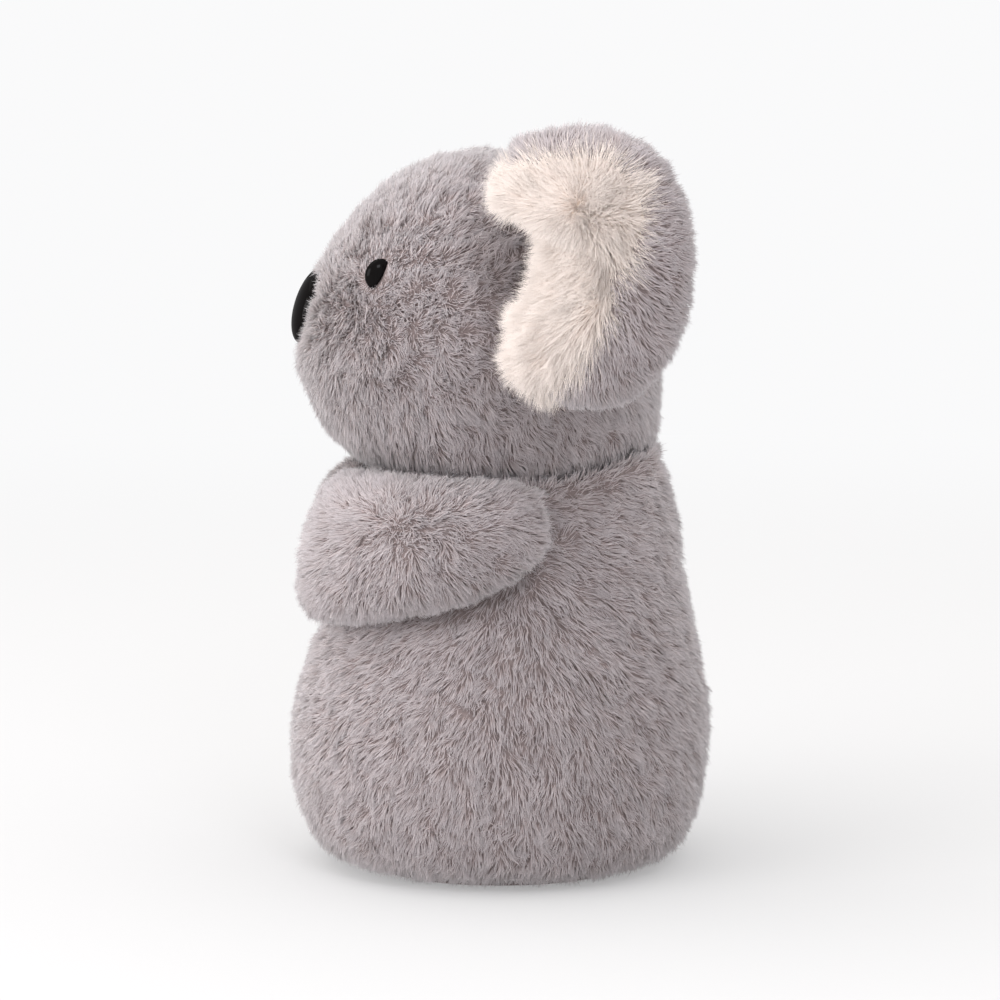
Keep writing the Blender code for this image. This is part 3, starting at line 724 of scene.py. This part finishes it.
# %% Kinds of pile
GREY_PILE = {
    "length": 5.2 * MM, "depth": 3.1 * MM, "radius": 0.22 * MM, "wander": 0.5, "wander_size": 7 * MM,
    "stray": 0.34, "tuft_size": 5 * MM, "swell": 0.18, "uneven": 0.18, "gathered": 5, "gather": 0.35,
    "soften": 0,
}
EAR_PILE = {**GREY_PILE, "radius": 0.24 * MM, "wander": 0.35, "stray": 0.28, "swell": 0.12, "gather": 0.25}
CREAM_PILE = {
    "length": 9.4 * MM, "depth": 5.2 * MM, "radius": 0.135 * MM, "wander": 0.35, "wander_size": 10 * MM,
    "stray": 0.4, "tuft_size": 9 * MM, "swell": 0.15, "uneven": 0.32, "gathered": 14, "gather": 0.4,
    "soften": 1.2,
}
print("lengths of pile, mm:", [round(pile["length"] / MM, 1) for pile in (GREY_PILE, EAR_PILE, CREAM_PILE)])

# %% [markdown]
# Fur finish
# One shader reads two values that every fibre carries: how far along it a point is, and how
# light that fibre is. The colour runs from a darker root to a lighter tip. That is painted shade
# deep in the pile, where less light gets in, and painted light on the tips. A little sheen gives
# the pale rim that soft fur has, and light soaks in under the grey.

# %% Fur finish
FUR_SURFACE = {
    "Roughness": 0.85,
    "Specular IOR Level": 0.2,
    "Subsurface Radius": (1.0, 0.85, 0.8),
    "Subsurface Scale": 0.6 * MM,
    "Sheen Roughness": 0.45,
}
RAMP_PLACES = (0.15, 0.5, 0.95)


def new_finish(name):
    """A material with its nodes, its links and its surface shader."""
    made = bpy.data.materials.new(name)
    made.use_nodes = True
    nodes = made.node_tree.nodes
    return made, nodes, made.node_tree.links, nodes["Principled BSDF"]


def value_range(nodes, low, high):
    """A node that spreads a value from 0 to 1 over a range."""
    spread = nodes.new("ShaderNodeMapRange")
    spread.inputs["To Min"].default_value = low
    spread.inputs["To Max"].default_value = high
    return spread


def fur_finish(name, root, middle, tip, spread, soak, sheen):
    made, nodes, links, shader = new_finish(name)
    for socket, value in {**FUR_SURFACE, "Subsurface Weight": soak, "Sheen Weight": sheen}.items():
        shader.inputs[socket].default_value = value
    reach = nodes.new("ShaderNodeAttribute")
    reach.attribute_name = "reach"
    shade = nodes.new("ShaderNodeAttribute")
    shade.attribute_name = "shade"
    ramp = nodes.new("ShaderNodeValToRGB")
    ramp.color_ramp.elements[0].position = RAMP_PLACES[0]
    ramp.color_ramp.elements[0].color = (*root, 1)
    ramp.color_ramp.elements[1].position = RAMP_PLACES[2]
    ramp.color_ramp.elements[1].color = (*tip, 1)
    ramp.color_ramp.elements.new(RAMP_PLACES[1]).color = (*middle, 1)
    level = value_range(nodes, 1 - spread, 1 + spread)
    tint = nodes.new("ShaderNodeVectorMath")
    tint.operation = "SCALE"
    links.new(reach.outputs["Fac"], ramp.inputs[0])
    links.new(shade.outputs["Fac"], level.inputs["Value"])
    links.new(ramp.outputs["Color"], tint.inputs[0])
    links.new(level.outputs[0], tint.inputs["Scale"])
    links.new(tint.outputs["Vector"], shader.inputs["Base Color"])
    return made


# Roots are painted darker and tips lighter than the pile's own middle colour: painted shade and painted
# light.
grey_fur = fur_finish(
    "grey_pile", (0.30, 0.238, 0.232), (0.465, 0.395, 0.40), (0.625, 0.548, 0.57), 0.2, 0.4, 0.35)
cream_fur = fur_finish(
    "cream_pile", (0.83, 0.665, 0.57), (0.9, 0.782, 0.712), (0.935, 0.846, 0.792), 0.055, 0, 0.2)
print("fur finishes:", grey_fur.name, cream_fur.name)

# %% [markdown]
# Knitted backing
# Between the fibres one sees a little of the cloth that they stand in. It is painted darker than
# the fibres, as painted shade that the pile casts on it, and a fine noise breaks it up as its
# stitches do. A woven pattern would be lost here.

# %% Knitted backing
KNIT_SCALE = 900
KNIT_LEVELS = (0.7, 1.3)


def backing_finish(name, colour):
    made, nodes, links, shader = new_finish(name)
    shader.inputs["Roughness"].default_value = 0.95
    place = nodes.new("ShaderNodeTexCoord")
    knit = nodes.new("ShaderNodeTexNoise")
    knit.inputs["Scale"].default_value = KNIT_SCALE
    level = value_range(nodes, *KNIT_LEVELS)
    tint = nodes.new("ShaderNodeVectorMath")
    tint.operation = "SCALE"
    tint.inputs[0].default_value = colour
    links.new(place.outputs["Object"], knit.inputs["Vector"])
    links.new(knit.outputs["Fac"], level.inputs["Value"])
    links.new(level.outputs[0], tint.inputs["Scale"])
    links.new(tint.outputs["Vector"], shader.inputs["Base Color"])
    return made


# Both backing colours are painted dark: painted shade of the pile lying over the cloth.
grey_backing = backing_finish("grey_knit_backing", (0.215, 0.17, 0.166))
cream_backing = backing_finish("cream_knit_backing", (0.66, 0.54, 0.455))
print("backings:", grey_backing.name, cream_backing.name)

# %% [markdown]
# Folds in the body
# Where a stuffed body has been folded or squeezed, the pile parts along a dark line. Each fold
# is drawn on the side view with a few points, and cloth and pile are both pressed in along it.
# Faint rows run round the body, because the pile is knitted into its backing in rows.

# %% Folds: points as mm to the back and up, then depth and width
CREASES = (
    (((-20, 66), (-8, 58), (3, 48)), 2.1 * MM, 1.3 * MM),
    (((-3, 48), (-1.5, 30), (-1.5, 6)), 0.6 * MM, 1 * MM),
    (((12, 92), (18, 84), (27, 77)), 1.8 * MM, 2.4 * MM),
    (((4, 84), (12, 74), (14, 66)), 1.2 * MM, 2.0 * MM),
    (((22, 66), (34, 60), (44, 62)), 1.0 * MM, 2.0 * MM),
)
BACK_NOTCH = np.array((0, 60, 97)) * MM
BACK_NOTCH_SIZE = np.array((40, 6, 2.5)) * MM
BACK_NOTCH_DEEP = 1.5 * MM
ROW_DEEP = 0.5 * MM
ROW_SHAPE = (4.5 * MM, 2.5, 15 * MM, 74)
ROW_FADE = (25 * MM, 75)
BODY_UNEVENNESS = (0.35 * MM, 9 * MM, 71)


def from_line(points, line):
    """How far points lie from a crooked line, both seen from the side, and the way away from it."""
    near = np.full(len(points), 1.0)
    apart = np.zeros((len(points), 3))
    corners = np.array(line) * MM
    for start, end in zip(corners[:-1], corners[1:]):
        run = end - start
        share = np.clip((points[:, 1:] - start) @ run / (run @ run), 0, 1)
        gap = points[:, 1:] - start - share[:, None] * run
        distance = np.linalg.norm(gap, axis=1)
        closer = distance < near
        near = np.where(closer, distance, near)
        apart[closer, 1:] = gap[closer] / np.maximum(distance[closer], 1e-9)[:, None]
    return near, apart


def body_creases(points):
    """Where the stuffed cloth folds: on both sides, and across the back."""
    depth = np.zeros(len(points))
    for line, deep, wide in CREASES:
        depth = np.maximum(depth, deep * np.exp(-((from_line(points, line)[0] / wide) ** 2)))
    notch = BACK_NOTCH_DEEP * np.exp(-(np.linalg.norm((points - BACK_NOTCH) / BACK_NOTCH_SIZE, axis=1) ** 2))
    fading = np.clip(0.5 + 0.5 * wave_field(points, *ROW_FADE), 0, 1)
    in_rows = ROW_DEEP * rows(points, *ROW_SHAPE) * fading
    return np.maximum(depth, notch) + in_rows + unevenness(points, *BODY_UNEVENNESS)


print("folds:", len(CREASES))

# %% [markdown]
# Body fur
# Four panels meet at the sides and at the middle of the front and back, where the real skin has
# its seams. From the shoulder the fur is brushed outwards, and lower down it hangs straight.
# At the neck it stands up, to meet the head's fringe. Hidden cloth gets half as many fibres.

# %% Body fur
BODY_FIBRES = 37000
SHOULDER = np.array((68 * MM, 8 * MM, 100 * MM))
SHOULDER_REACH = 60 * MM
SHOULDER_PULL = (1.25, 0.65)
PULL_LIMITS = (0.2, 1.2)
BODY_HANG = 0.7
NECK_TRIM = 6 * MM
NECK_LIFT = 1.2
CREASE_PARTING = 0.3
HIDDEN_SHARE = 0.5
UNDER_ARM = 0.4 * ARM_TALL
UNDER_HEAD = 1 * MM
HEM = 0.5 * MM


def mirrored(points, anchor):
    """From an anchor on the left side, or its mirror image on the right, to each point."""
    near = points.copy()
    near[:, 0] = np.abs(near[:, 0])
    away = near - anchor
    away[:, 0] *= np.sign(points[:, 0])
    return away


def body_comb(points, normals):
    away = mirrored(points, SHOULDER)
    far = np.linalg.norm(away, axis=1) / SHOULDER_REACH
    pull = np.clip(SHOULDER_PULL[0] - SHOULDER_PULL[1] * far, *PULL_LIMITS)
    brushed = unit(away) * pull[:, None]
    brushed[:, 2] -= BODY_HANG
    below_neck = points[:, 2] - neck_shift(points[:, 1], points[:, 2]) - NECK_HEIGHT
    brushed[:, 2] += NECK_LIFT * np.clip(below_neck / NECK_TRIM + 1, 0, 1)
    for line, deep, wide in CREASES:
        distance, apart = from_line(points, line)
        brushed += CREASE_PARTING * np.exp(-((distance / wide) ** 2))[:, None] * apart
    return brushed, np.ones(len(points))


def body_quarter(side, rear):
    """Thickness of the pile on one side, in front of or behind the side seam; thin where hidden."""
    def thickness(points):
        here = (points[:, 0] * side > 0) & ((points[:, 1] > 0) == rear) & (points[:, 2] > HEM)
        turn = np.arctan2(points[:, 1], np.abs(points[:, 0]))
        under_arm = (np.abs(points[:, 2] - ARM_MIDDLE_HEIGHT) < UNDER_ARM) & (turn < 0)
        under_head = points[:, 2] > NECK_HEIGHT - UNDER_HEAD
        return here * np.where(under_head | under_arm, HIDDEN_SHARE, 1)
    return thickness


body_panels = []
for word, side in SIDES.items():
    for end, rear in (("front", False), ("back", True)):
        body_panels.append(grown_pile(
            f"body_fur_{end}_{word}", body_ball, BODY_FIBRES, body_quarter(side, rear), body_comb,
            GREY_PILE, grey_fur, 100 + 10 * side + rear, pressed=body_creases))

# %% [markdown]
# Eyes and nose
# They are polished black domes, sunk in the pile on a shank. Each starts as a sphere: its
# front half is drawn out to the height it stands proud, and its rear half is pressed flat.

# %% Where they sit on the head
EYE_WIDTH = 4.9 * MM
EYE_TALL = 9.8 * MM
EYE_LEAN = math.radians(18)
EYE_PROUD = 0.9 * MM
EYE_SUNK = 3.5 * MM
EYE_HEIGHT = NECK_TOP + 61 * MM
EYE_TURN = math.radians(-40)
EYE_FORWARD = math.radians(18)
NOSE_WIDTH = 22 * MM
NOSE_TALL = 25 * MM
NOSE_PROUD = 1.8 * MM
NOSE_SUNK = 3.5 * MM
NOSE_HEIGHT = NECK_TOP + 49 * MM
NOSE_TURN = math.radians(-90)


def head_frame(height, turn):
    """A point on the head's fur with its directions sideways, up and outward."""
    step = 0.35 * MM

    def there(height, turn):
        across, along = head_outline(np.array([height]), np.array([turn]))
        return Vector((across[0], along[0], height))
    here = there(height, turn)
    aside = there(height, turn + step / HEAD_DEPTH) - here
    outward = aside.cross(there(height + step, turn) - here).normalized()
    sideways = Vector((0, 0, 1)).cross(outward).normalized()
    return here, sideways, outward.cross(sideways), outward


def faced_forward(place, angle):
    """The same place, with its outward direction turned towards the face."""
    here, sideways, upward, outward = place
    turn = Matrix.Rotation(-angle, 3, upward)
    lean = Matrix.Rotation(-EYE_LEAN, 3, outward)
    return here, turn @ lean @ sideways, turn @ lean @ upward, turn @ outward


# %% [markdown]
# Polished black
# A clear coat over a nearly black base gives the one sharp window of light that a moulded eye
# has. A faint cloud in tone and roughness keeps it from looking like a hole.

# %% Polished black
GLOSS_CLOUD = 350
GLOSS_RUB = (0.06, 0.16)


def gloss_black():
    made, nodes, links, shader = new_finish("polished_black")
    shader.inputs["Specular IOR Level"].default_value = 0
    shader.inputs["Coat Weight"].default_value = 0.14
    shader.inputs["Coat Roughness"].default_value = 0.08
    place = nodes.new("ShaderNodeTexCoord")
    cloud = nodes.new("ShaderNodeTexNoise")
    cloud.inputs["Scale"].default_value = GLOSS_CLOUD
    rub = value_range(nodes, *GLOSS_RUB)
    tone = nodes.new("ShaderNodeValToRGB")
    tone.color_ramp.elements[0].color = (0.0025, 0.002, 0.002, 1)
    tone.color_ramp.elements[1].color = (0.005, 0.004, 0.004, 1)
    links.new(place.outputs["Object"], cloud.inputs["Vector"])
    links.new(cloud.outputs["Fac"], rub.inputs["Value"])
    links.new(cloud.outputs["Fac"], tone.inputs[0])
    links.new(rub.outputs[0], shader.inputs["Roughness"])
    links.new(tone.outputs["Color"], shader.inputs["Base Color"])
    return made


polished_black = gloss_black()
print("finish:", polished_black.name)

# %% [markdown]
# Eyes and nose
# Each is a ball with a nearly flat back, drawn out to its own height and width, and seated so
# deep that the pile laps over its edge. The eyes look a little further forward than the fur that
# they sit in, as the shine on the real one shows.

# %% Eyes and nose
DOME_BACK = 0.8 * MM


def dome(name, place, tall, wide, proud, sunk, side=1):
    """A polished dome seated in the fur at a place on the head."""
    here, sideways, upward, outward = place
    bpy.ops.object.select_all(action="DESELECT")
    bpy.ops.mesh.primitive_uv_sphere_add(segments=48, ring_count=32, radius=1, location=(0, 0, 0))
    piece = bpy.context.object
    piece.name = name
    piece.data.name = name
    points = vertex_places(piece.data)
    height = np.where(points[:, 2] > 0, (proud + sunk) * points[:, 2], DOME_BACK * points[:, 2]) - sunk
    points = (np.outer(points[:, 0] * wide / 2, sideways) + np.outer(points[:, 1] * tall / 2, upward)
              + np.outer(height, outward) + np.array(here))
    points[:, 0] *= side
    piece.data.vertices.foreach_set("co", points.astype(np.float32).ravel())
    bpy.ops.object.mode_set(mode="EDIT")
    bpy.ops.mesh.select_all(action="SELECT")
    bpy.ops.mesh.normals_make_consistent(inside=False)
    bpy.ops.object.mode_set(mode="OBJECT")
    bpy.ops.object.shade_smooth()
    piece.data.materials.append(polished_black)
    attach(piece, "head")
    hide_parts(name.replace("_dome", ""))
    return piece


nose_place = head_frame(NOSE_HEIGHT, NOSE_TURN)
eye_place = faced_forward(head_frame(EYE_HEIGHT, EYE_TURN), EYE_FORWARD)
dome("nose_dome", nose_place, NOSE_TALL, NOSE_WIDTH, NOSE_PROUD, NOSE_SUNK)
for word, side in SIDES.items():
    dome(f"eye_dome_{word}", eye_place, EYE_TALL, EYE_WIDTH, EYE_PROUD, EYE_SUNK, side)
print("eye at, mm:", [round(1000 * value, 1) for value in eye_place[0]])

# %% [markdown]
# Head fur
# The face is brushed back from the nose and down over the jaw and the nape. Round the eyes and
# the nose the pile is clipped short, so that the domes show, with a fringe over their edges. The
# lowest fibres hang over the neck's crease. In front of each ear the pile lies in small ridges.

# %% How the head is brushed
JAW_HEIGHT = 172 * MM
JAW_FADE = 40 * MM
NAPE_FROM = 10 * MM
NAPE_FADE = 30 * MM
HEAD_HANG = 0.9
EYE_CLIPPED_RUN = 3 * MM
EYE_PARTING = 1.2
NOSE_CLIPPED_RUN = 2.5 * MM
CLIPPED = 0.6
NOSE_FRINGE = 1.25
NOSE_FRINGE_TURN = 1.5
NECK_HANG = 1.8
NECK_FRINGE = 0.5
NOSE_POINT = np.array(nose_place[0])
EYE_POINT = np.array(eye_place[0])


def head_comb(points, normals):
    away = unit(points - NOSE_POINT)
    jaw = np.clip((JAW_HEIGHT - points[:, 2]) / JAW_FADE, 0, 1)
    nape = np.clip((points[:, 1] - NAPE_FROM) / NAPE_FADE, 0, 1)
    away[:, 2] -= HEAD_HANG * np.maximum(jaw, nape)
    from_eye = mirrored(points, EYE_POINT)
    eye_gap = np.linalg.norm(from_eye, axis=1) - EYE_TALL / 2
    near_eye = np.exp(-np.maximum(eye_gap, 0) / EYE_CLIPPED_RUN)
    in_front = np.clip(0.5 - from_eye[:, 1] / EYE_TALL, 0, 1)
    away += (EYE_PARTING * near_eye * in_front)[:, None] * unit(from_eye)
    from_nose = (points - NOSE_POINT) / (NOSE_WIDTH / 2, 1, NOSE_TALL / 2)
    nose_gap = (np.linalg.norm(from_nose, axis=1) - 1) * NOSE_WIDTH / 2
    near_nose = np.exp(-np.maximum(nose_gap, 0) / NOSE_CLIPPED_RUN)
    away *= (1 - NOSE_FRINGE_TURN * near_nose)[:, None]
    above_neck = points[:, 2] - neck_shift(points[:, 1], points[:, 2]) - NECK_TOP
    hang = np.clip(1 - above_neck / NECK_TRIM, 0, 1)
    away[:, 2] -= NECK_HANG * hang
    return away, 1 - (1 - CLIPPED) * near_eye - (1 - NOSE_FRINGE) * near_nose + NECK_FRINGE * hang


# %% Head fur
HEAD_FIBRES = 36000
EYE_SEAT = 0.42
NOSE_SEAT = 0.95
RIPPLE_MIDDLE = np.array((62, -8, 186)) * MM
RIPPLE_SIZE = np.array((30, 17, 22)) * MM
RIPPLE_DEEP = 1.1 * MM
RIPPLE_SHAPE = (5.5 * MM, 2.2, 16 * MM, 72)
HEAD_UNEVENNESS = (0.3 * MM, 10 * MM, 73)


def head_quarter(side, rear):
    def thickness(points):
        here = (points[:, 0] * side > 0) & ((points[:, 1] > -HEAD_FORWARD) == rear)
        return here * np.where(points[:, 2] < NECK_TOP + HEM, HIDDEN_SHARE, 1)
    return thickness


def off_domes(points):
    """Leaves the eyes' and the nose's own seats bare."""
    from_eye = np.linalg.norm(mirrored(points, EYE_POINT), axis=1)
    from_nose = (points - NOSE_POINT) / (NOSE_WIDTH / 2, NOSE_TALL / 2, NOSE_TALL / 2)
    return (from_eye > EYE_SEAT * EYE_TALL) & (np.linalg.norm(from_nose, axis=1) > NOSE_SEAT)


def head_ripples(points):
    """Small ridges in the pile in front of each ear, and a soft unevenness everywhere."""
    near = np.abs(points) * (1, 0, 0) + points * (0, 1, 1)
    here = np.exp(-(np.linalg.norm((near - RIPPLE_MIDDLE) / RIPPLE_SIZE, axis=1) ** 2))
    return RIPPLE_DEEP * here * rows(points, *RIPPLE_SHAPE) + unevenness(points, *HEAD_UNEVENNESS)


head_panels = []
for word, side in SIDES.items():
    for end, rear in (("front", False), ("back", True)):
        head_panels.append(grown_pile(
            f"head_fur_{end}_{word}", head_ball, HEAD_FIBRES, head_quarter(side, rear), head_comb,
            GREY_PILE, grey_fur, 200 + 10 * side + rear, off_domes, head_ripples))

# %% [markdown]
# Arm fur
# On each arm the pile starts from a whorl on the outer side and is brushed outwards all round,
# over the shoulder, the paw and both edges. More fibres stand at the whorl, because they lean
# away from one another there. The inner side, which lies on the chest, has fewer.

# %% Arm fur
WHORL = np.array((70 * MM, -41.5 * MM, 125 * MM))
WHORL_RUN = 8 * MM
WHORL_EXTRA = 2
WHORL_UPRIGHT = 10 * MM
ARM_WHORL_LEAN = 0.4
ARM_INNER = 4 * MM
ARM_FIBRES = 31000


def thick_at(away):
    """More fibres near a whorl, where they all lean away from one another."""
    return 1 + WHORL_EXTRA * np.exp(-((np.linalg.norm(away, axis=1) / WHORL_RUN) ** 2))


def out_of_whorl(away, least):
    """Brushed away from a whorl, and more upright near it."""
    return unit(away) * np.clip(np.linalg.norm(away, axis=1) / WHORL_UPRIGHT, least, 1)[:, None]


def arm_comb(points, normals):
    return out_of_whorl(mirrored(points, WHORL), ARM_WHORL_LEAN), np.ones(len(points))


def arm_thickness(points):
    """Thin on the inner side, which lies on the body."""
    turn = np.arctan2(points[:, 1], np.abs(points[:, 0]))
    across, along = body_outline(points[:, 2], turn)
    inner = np.hypot(points[:, 0], points[:, 1]) < np.hypot(across, along) + ARM_INNER
    return np.where(inner, HIDDEN_SHARE, thick_at(mirrored(points, WHORL)))


arm_panels = {}
for word, side in SIDES.items():
    arm_panels[word] = grown_pile(
        f"arm_fur_{word}", arm_balls[word], ARM_FIBRES, arm_thickness, arm_comb,
        GREY_PILE, grey_fur, 300 + side)

# %% [markdown]
# Ear fur
# The seam between the cream face and the grey back isn't seen as a line: the long cream fibres
# lap over it. The cream ends at a curve that follows the ear's rim, and its pile spreads from a
# whorl high on the face. Along the front edge it stands out as a soft fringe.

# %% Where the ear is cream: the face's edge, top and front
CREAM_EDGE = np.array((
    (-41, -14), (-36, -3), (-27, 9), (-17.5, 15.5), (-8, 21), (-1, 20), (5, 24), (14, 26.5), (20, 25),
    (25, 22), (29, 18), (32, 14), (34, 8), (35.5, -40))) * MM
CREAM_TOP = np.array(((-32, 23.5), (-20, 27), (-15, 29.5), (-5, 32), (4, 34))) * MM
CREAM_FRONT = np.array(((-32, 1), (-12, 4), (20, 9))) * MM


def ear_is_cream(points, side):
    """Whether a point lies on the cream face: short of its curved edge, in front of the inner seam."""
    across, upward, facing = ear_axes(side)
    from_middle = points - ear_centre(side)
    edge = np.interp(from_middle @ upward, CREAM_EDGE[:, 0], CREAM_EDGE[:, 1])
    front = np.interp(from_middle @ across, CREAM_FRONT[:, 0], CREAM_FRONT[:, 1])
    top = np.interp(from_middle @ across, CREAM_TOP[:, 0], CREAM_TOP[:, 1])
    return (from_middle @ across < edge) & (from_middle @ facing > front) & (from_middle @ upward < top)


# %% Ear fur
WHORL_IN_EAR = np.array((6, 20, 18)) * MM
EAR_WHORL_LEAN = 0.6
EAR_HANG = 0.25
FRINGE_FROM = 0.55
FRINGE_FADE = 0.4
FRINGE_UPRIGHT = 0.65
FRINGE_LONGER = 0.4
BACK_WHORL = (30 * MM, 8 * MM)
BACK_HANG = 0.2
EAR_FRONT_FIBRES = 36000
EAR_BACK_FIBRES = 22000


def ear_whorl(side):
    across, upward, facing = ear_axes(side)
    return ear_centre(side) + WHORL_IN_EAR @ np.array((across, facing, upward))


def ear_front_comb(side):
    middle = ear_whorl(side)

    def comb(points, normals):
        brushed = out_of_whorl(points - middle, EAR_WHORL_LEAN)
        brushed[:, 2] -= EAR_HANG
        edge = np.clip((-normals[:, 1] - FRINGE_FROM) / FRINGE_FADE, 0, 1)
        return brushed * (1 - FRINGE_UPRIGHT * edge)[:, None], 1 + FRINGE_LONGER * edge
    return comb


def ear_back_comb(side):
    across, upward, facing = ear_axes(side)
    middle = ear_centre(side) + facing * BACK_WHORL[0] + upward * BACK_WHORL[1]
    return lambda points, normals: (unit(points - middle) - (0, 0, BACK_HANG), np.ones(len(points)))


ear_fronts = {}
ear_backs = {}
for word, side in SIDES.items():
    ear_fronts[word] = grown_pile(
        f"ear_fur_front_{word}", ear_balls[word], EAR_FRONT_FIBRES,
        lambda points: ear_is_cream(points, side) * thick_at(points - ear_whorl(side)),
        ear_front_comb(side), CREAM_PILE, cream_fur, 400 + side)
    ear_backs[word] = grown_pile(
        f"ear_fur_back_{word}", ear_balls[word], EAR_BACK_FIBRES, lambda points: ~ear_is_cream(points, side),
        ear_back_comb(side), EAR_PILE, grey_fur, 500 + side)

# %% Cream cloth under the cream pile
def paint_ear(ball, side):
    """Grey cloth all over, and cream cloth under the cream pile."""
    ball.data.materials.append(grey_backing)
    ball.data.materials.append(cream_backing)
    middles = np.empty(len(ball.data.polygons) * 3, np.float32)
    ball.data.polygons.foreach_get("center", middles)
    cream = ear_is_cream(middles.reshape(-1, 3).astype(float), side)
    ball.data.polygons.foreach_set("material_index", cream.astype(np.int32))
    ball.data.update()


# %% [markdown]
# The base
# Underneath, where the toy stands, an oval of plain cloth closes the body. It is a thin cylinder
# pulled out to the body's lowest outline. Round it runs a welt, the folded edge of the seam,
# which is a curve with a round bevel, turned into a mesh.

# %% Base cloth and welt
BASE_SHARE = 0.9
BASE_SEGMENTS = 96
BASE_THICKNESS = 1.2 * MM
WELT_RADIUS = 0.7 * MM
WELT_SHARE = BASE_SHARE + 0.012
TABLE_GAP = 0.05 * MM


def base_ring(share, height):
    """The body's lowest outline, drawn in by a share, at a height."""
    turn = np.arange(BASE_SEGMENTS) * 2 * math.pi / BASE_SEGMENTS
    across, along = body_outline(np.zeros(BASE_SEGMENTS), turn)
    return np.stack((across * share, along * share, np.full(BASE_SEGMENTS, height)), 1)


def base_cloth():
    bpy.ops.object.select_all(action="DESELECT")
    bpy.ops.mesh.primitive_cylinder_add(vertices=BASE_SEGMENTS, radius=1, depth=1, location=(0, 0, 0))
    piece = bpy.context.object
    piece.name = "base_cover"
    piece.data.name = "base_cover"
    points = vertex_places(piece.data)
    turn = np.arctan2(points[:, 1], points[:, 0])
    across, along = body_outline(np.zeros(len(points)), turn)
    height = np.where(points[:, 2] > 0, BASE_THICKNESS, TABLE_GAP)
    placed = np.stack((across * BASE_SHARE, along * BASE_SHARE, height), 1)
    piece.data.vertices.foreach_set("co", placed.astype(np.float32).ravel())
    piece.data.update()
    return piece


def base_welt():
    """A cord of folded cloth round the base, lying on its outline."""
    curve = bpy.data.curves.new("base_welt", "CURVE")
    curve.dimensions = "3D"
    curve.bevel_depth = WELT_RADIUS
    curve.bevel_resolution = 3
    line = curve.splines.new("POLY")
    ring = base_ring(WELT_SHARE, WELT_RADIUS + TABLE_GAP)
    line.points.add(BASE_SEGMENTS - 1)
    line.points.foreach_set("co", np.hstack((ring, np.ones((BASE_SEGMENTS, 1)))).astype(np.float32).ravel())
    line.use_cyclic_u = True
    piece = bpy.data.objects.new("base_welt", curve)
    bpy.context.scene.collection.objects.link(piece)
    bpy.ops.object.select_all(action="DESELECT")
    piece.select_set(True)
    bpy.context.view_layer.objects.active = piece
    bpy.ops.object.convert(target="MESH")
    return bpy.context.object


base_pieces = [base_cloth(), base_welt()]
for piece in base_pieces:
    piece.data.materials.append(grey_backing)
    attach(piece, "torso")
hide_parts("base_panel")
print("base pieces:", [piece.name for piece in base_pieces])

# %% [markdown]
# Washers
# Behind the eyes and the nose, lock washers hold the shanks inside the head. They are hidden, so
# their solids stay as they are and only get the look of plain moulded plastic.

# %% Washers
PLASTIC_CLOUD = 600
PLASTIC_RUB = (0.4, 0.6)


def moulded_plastic():
    made, nodes, links, shader = new_finish("moulded_plastic")
    place = nodes.new("ShaderNodeTexCoord")
    cloud = nodes.new("ShaderNodeTexNoise")
    cloud.inputs["Scale"].default_value = PLASTIC_CLOUD
    tone = nodes.new("ShaderNodeValToRGB")
    tone.color_ramp.elements[0].color = (0.5, 0.5, 0.49, 1)
    tone.color_ramp.elements[1].color = (0.6, 0.6, 0.59, 1)
    rub = value_range(nodes, *PLASTIC_RUB)
    links.new(place.outputs["Object"], cloud.inputs["Vector"])
    links.new(cloud.outputs["Fac"], tone.inputs[0])
    links.new(cloud.outputs["Fac"], rub.inputs["Value"])
    links.new(tone.outputs["Color"], shader.inputs["Base Color"])
    links.new(rub.outputs[0], shader.inputs["Roughness"])
    return made


washer_plastic = moulded_plastic()
for name in ("nose_washer", "eye_washer_left", "eye_washer_right"):
    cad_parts[name].material_slots[0].material = washer_plastic
print("finish:", washer_plastic.name)

# %% [markdown]
# Joining
# The balls so far mark the outside of the pile. Now each is sunk to where its cloth lies, takes
# the place of the skin and filling solids inside it, and moves with its body. The fur rides on
# the same body as its cloth, so that a turned head or a lifted arm takes its pile along.

# %% Sink the cloth under the pile and join everything to its body
BACKING_DEPTH = 2.5 * MM
CREAM_DEEPER = 2 * MM


def cloth(ball, body, pressed=None):
    """A stuffed cloth shape: sunk under its pile and joined to its body."""
    sunk_in(ball, BACKING_DEPTH, pressed)
    if not ball.data.materials:
        ball.data.materials.append(grey_backing)
    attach(ball, body)


def fur(panel, body):
    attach(panel, body)


cloth(body_ball, "torso", body_creases)
cloth(head_ball, "head", head_ripples)
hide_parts("body_skin", "body_filling", "pellet_bag")
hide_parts("head_skin", "head_filling")
for panel in body_panels:
    fur(panel, "torso")
for panel in head_panels:
    fur(panel, "head")
for word, side in SIDES.items():
    paint_ear(ear_balls[word], side)
    cloth(arm_balls[word], f"arm_{word}")
    cloth(ear_balls[word], f"ear_{word}", lambda points: CREAM_DEEPER * ear_is_cream(points, side))
    fur(arm_panels[word], f"arm_{word}")
    fur(ear_fronts[word], f"ear_{word}")
    fur(ear_backs[word], f"ear_{word}")
    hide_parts(f"arm_skin_{word}", f"arm_filling_{word}")
    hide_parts(f"ear_front_{word}", f"ear_back_{word}", f"ear_filling_{word}")
